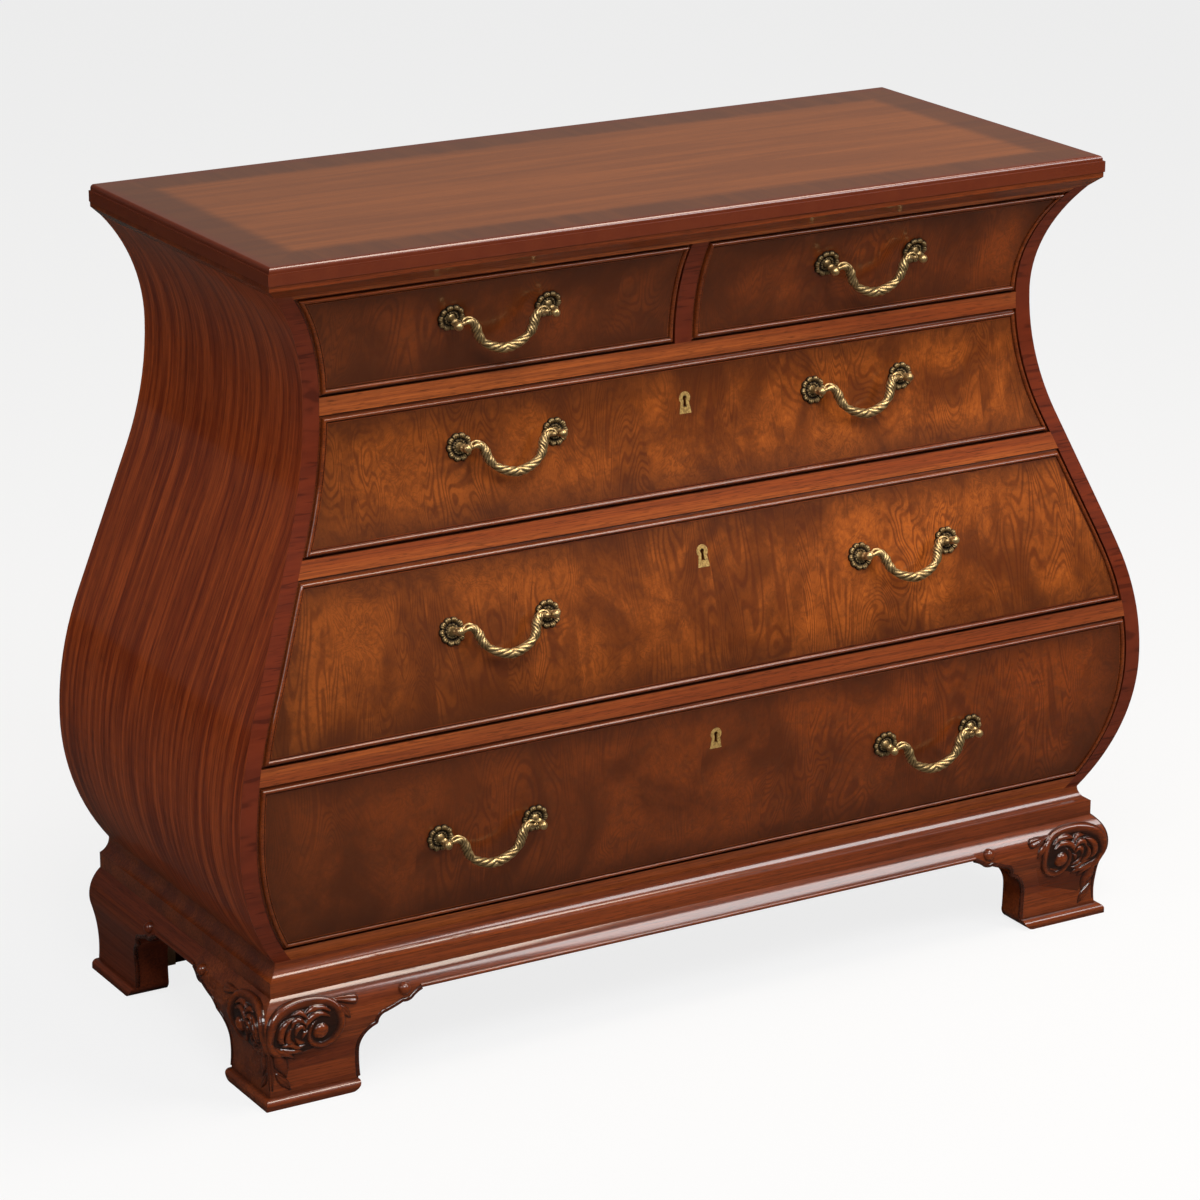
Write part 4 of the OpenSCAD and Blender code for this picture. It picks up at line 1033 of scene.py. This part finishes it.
STROKES = [
    (SCROLL, SCROLL_WIDTHS, SCROLL_HEIGHTS),
    ([(80, 111), (90, 110), (99, 108.6), (107, 107.4)], [1.6, 3, 4.6, 5.6], [2.6, 3.4, 4.4, 4.2]),
    ([(84, 106), (91, 101.5), (96, 96), (100.5, 89)], [1.6, 3.2, 4, 1.2], [3, 3.6, 3.4, 1.6]),
    ([(77, 101), (68, 106), (57, 106.2), (49, 103.5)], [1.2, 3, 3.6, 1], [2.8, 3.6, 4, 2.4]),
    ([(76, 95.5), (67, 100), (57, 99), (50, 94), (48, 88)],
     [1, 3, 3.8, 3.2, 1], [2.6, 3.8, 4.2, 3.6, 2]),
    ([(50, 98), (43, 105), (34, 104.5)], [1, 3.2, 1], [3, 3.8, 2.2]),
    ([(47, 93), (41, 98), (34, 97), (30.5, 90.5)], [1, 3.2, 3, 0.8], [3, 4, 3.6, 2]),
    ([(47, 86), (42, 91), (37, 88), (36, 81)], [1, 3, 3, 0.8], [2.6, 3.8, 3.4, 2]),
    ([(50, 84), (46, 82), (44.5, 76)], [0.8, 2.4, 0.8], [2, 3.2, 1.8]),
    ([(33, 101), (24, 96.5), (18.6, 89), (18.5, 80), (23, 74)],
     [0.8, 3.4, 4.6, 4, 1], [2.4, 3.8, 4.2, 3.8, 2]),
    ([(30, 91), (26.5, 84), (28, 76.5), (35, 72)], [0.8, 3.2, 3.4, 1], [2.4, 3.6, 3.6, 2]),
    ([(36, 78), (41, 72), (48, 69.5)], [0.8, 2.8, 0.8], [2, 3.4, 1.8]),
    ([(22, 71), (31, 70.5), (40, 65.5), (49, 66)], [0.8, 3, 2.8, 0.8], [2, 3.4, 3, 1.6]),
    ([(7, 76), (11, 67), (17.5, 61), (26, 58.2)], [3.4, 4, 3.4, 0.8], [3.2, 4, 3.6, 1.8]),
    ([(13, 70), (22, 63), (30, 58.5), (37.5, 52.5)], [1.6, 3.6, 3.2, 0.8], [2.4, 3.8, 3.4, 1.6]),
    ([(20, 67), (32, 62), (40, 60.5), (47.5, 57)], [1.4, 3.2, 3, 0.8], [2.2, 3.6, 3.2, 1.6]),
    ([(15, 59), (19, 52), (24.5, 44), (28.5, 31.5)], [3.6, 7.4, 7, 1], [2.6, 3.6, 3.2, 1.2]),
    ([(17, 36), (22, 29.5), (28, 23), (33, 16)], [2, 4.4, 4.2, 0.8], [1.8, 2.8, 2.4, 1]),
    ([(9, 60), (11, 46), (11.5, 32), (11.5, 19)], [1.8, 2.4, 2.2, 1.2], [2, 2.6, 2.2, 1]),
]
VEINED = (1, 2, 17, 18)
BALL = (66, 80.5, 9.0, 6.4)  # across, up, radius and height
print("strokes", len(STROKES))

# %% [markdown]
# The relief finds the nearest place on each stroke and keeps the highest stroke. A
# stroke is a dome across its width. Veined strokes have a groove down the middle,
# and the scroll has one near a side. How hollow a place is, and how steep the flank
# of its stroke, set the painted shade of the carving.

# %% Relief
DIP = 0.5  # mm the sheet lies under the face where nothing is carved


def relief(u, z):
    """Height of the carving over the face, in mm, and its painted shade."""
    height = np.full(u.shape, -DIP)
    flank = np.zeros(u.shape)
    for number, (points, widths, tops) in enumerate(STROKES):
        path, _ = curve_through([(*p, w, t) for p, w, t in zip(points, widths, tops)], 90)
        ahead = unit(np.gradient(path[:, :2], axis=0))
        apart = (u[..., None] - path[:, 0]) ** 2 + (z[..., None] - path[:, 1]) ** 2
        near = apart.argmin(axis=-1)
        away = np.stack([u - path[near, 0], z - path[near, 1]], axis=-1)
        aside = (ahead[near, 0] * away[..., 1] - ahead[near, 1] * away[..., 0]) / path[near, 2]
        reach = np.linalg.norm(away, axis=-1) / path[near, 2]
        dome = np.sqrt(np.clip(1 - reach**2, 0, 1))
        if number in VEINED:
            dome = dome * (0.72 + 0.28 * np.minimum(np.abs(aside) * 2.4, 1))
        elif number == 0:
            dome = dome * (0.86 + 0.14 * np.cos(np.pi * (aside - 0.35)))
        stroke = np.where(reach < 1, path[near, 3] * dome, -DIP)
        flank = np.where(stroke > height, 1 - dome, flank)
        height = np.maximum(height, stroke)
    away = np.hypot(u - BALL[0], z - BALL[1]) / BALL[2]
    ball = np.where(away < 1, BALL[3] * np.sqrt(np.clip(1 - away**2, 0, 1)), -DIP)
    height = np.maximum(height, ball)
    inside_scroll = np.hypot((u - 47) / 45, (z - 86) / 28) < 1
    height = np.where(inside_scroll, np.maximum(height, 0.5), height)
    # painted shade: dark on the low ground and on the flanks of strokes
    hollow = np.clip(1.1 - height / 3.2, 0, 1) * np.clip((height + DIP) / 0.4, 0, 1)
    return height, np.maximum(hollow, np.clip(1.5 * flank, 0, 0.85))


flat = relief(*np.meshgrid(np.linspace(5, 110, 60), np.linspace(15, 115, 60)))[0]
print("highest carving about", round(flat.max(), 1), "mm")

# %% [markdown]
# Both faces of each front foot are carved from the same strokes. The sheet starts
# at the mitre of the corner, where the relief fades to nothing.

# %% Carve the knees
CARVED_LOW, CARVED_HIGH, CARVED_WIDTH = 13, 118.5, 112
GRID_UP, GRID_ACROSS = 176, 186
SIDE_SHARE = 0.9  # the side brackets are narrower


def carve(bm, side_face, hand):
    """Adds the carved front or side face of one foot."""
    z = np.linspace(CARVED_LOW, CARVED_HIGH, GRID_UP)[:, None]
    across = np.linspace(0, 1, GRID_ACROSS)[None, :]
    start = BULGE / MM - ogee(z)
    u = start + across * (CARVED_WIDTH - start)
    z = np.broadcast_to(z, u.shape)
    height, hollow = relief(u, z)
    height = -DIP + (height + DIP) * np.clip((u - start - 0.2) / 1.4, 0, 1)
    slope = ogee_slope(z)
    lean = np.sqrt(1 + slope**2)
    out = ogee(z) + height / lean
    up = z - height * slope / lean
    if side_face:
        u = start + (u - start) * SIDE_SHARE
        x = BASE_HALF / MM + out
        depth = BASE_D / MM + BULGE / MM - u
    else:
        x = BASE_HALF / MM + BULGE / MM - u
        depth = BASE_D / MM + out
    points = np.stack([hand * x * MM, BACK - depth * MM, up * MM], axis=2)
    add_sheet(bm, points, hollow=hollow)


for hand, side in ((-1, "left"), (1, "right")):
    bm = bmesh.new()
    for side_face in (False, True):
        carve(bm, side_face, hand)
    add_piece(f"carved_knee_{side}", bm, carved_wood, "case", sharp=80)

# %% [markdown]
# ## Lips of the brackets
# A small raised lip follows the cut edge of each bracket, from the toe up over the
# arch and scallop to the drop beside the apron. The back feet carry it on their
# side faces only.


# %% Outline of the lips
ARCH = (32, 43.75)  # middle of the arch, in mm from the foot's inner side and up
ARCH_RADIUS, SCALLOP_RADIUS, TOE_RADIUS = 32, 12, 450


def lip_outline():
    def arc_points(centre, radius, first, last, count):
        turns = np.radians(np.linspace(first, last, count))
        return [
            (centre[0] + radius * math.cos(turn), centre[1] + radius * math.sin(turn))
            for turn in turns
        ]

    edge = [
        (TOE_RADIUS - math.sqrt(TOE_RADIUS**2 - (ARCH[1] - z) ** 2), z)
        for z in (13.5, 20, 28, 36)
    ]
    edge += arc_points(ARCH, ARCH_RADIUS, 178, 112, 12)
    edge += arc_points((33, 75.5), SCALLOP_RADIUS, 186, 96, 10)
    edge += [(44, 91.6), (51.5, 94.6)]
    edge += arc_points((55.5, 106), SCALLOP_RADIUS, 250, 318, 8)
    edge += [(70, 101.2), (75.5, 103.2)]
    return edge


print("lip outline", len(lip_outline()), "points")

# %% [markdown]
# The lip is a thin round strip, sunk a little into the face of the foot. It starts
# at the inner side of its foot, which is given by the distance from the middle of
# the front, or from the back of the chest.

# %% Bracket lips
LIP_RADIUS, LIP_SUNK = 2.7, 1.0
FRONT_START, SIDE_FRONT_START, SIDE_BACK_START = 0.43795, 0.3489, 0.102


def add_lip(bm, first, side_face, hand, flip=1):
    outline, _ = curve_through([(u, z, 0) for u, z in lip_outline()], 120)
    u, z = outline[:, 0], outline[:, 1]
    out = ogee(z) - LIP_SUNK
    slope, ones, zeros = ogee_slope(z), np.ones_like(z), np.zeros_like(z)
    if side_face:
        path = [hand * (BASE_HALF / MM + out), BACK / MM - (first / MM - flip * u), z]
        facing = [hand * ones, zeros, -slope]
    else:
        path = [hand * (first / MM - u), BACK / MM - (BASE_D / MM + out), z]
        facing = [zeros, -ones, -slope]
    radii = np.full((len(u), 12), LIP_RADIUS)
    ring_points = tube_points(np.stack(path, axis=1), radii, np.stack(facing, axis=1))
    add_sheet(bm, ring_points * MM, around=True)


for hand, side in ((-1, "left"), (1, "right")):
    bm = bmesh.new()
    add_lip(bm, FRONT_START, False, hand)
    add_lip(bm, SIDE_FRONT_START, True, hand)
    add_lip(bm, SIDE_BACK_START, True, hand, flip=-1)
    add_piece(f"bracket_lips_{side}", bm, lip_wood, "case")
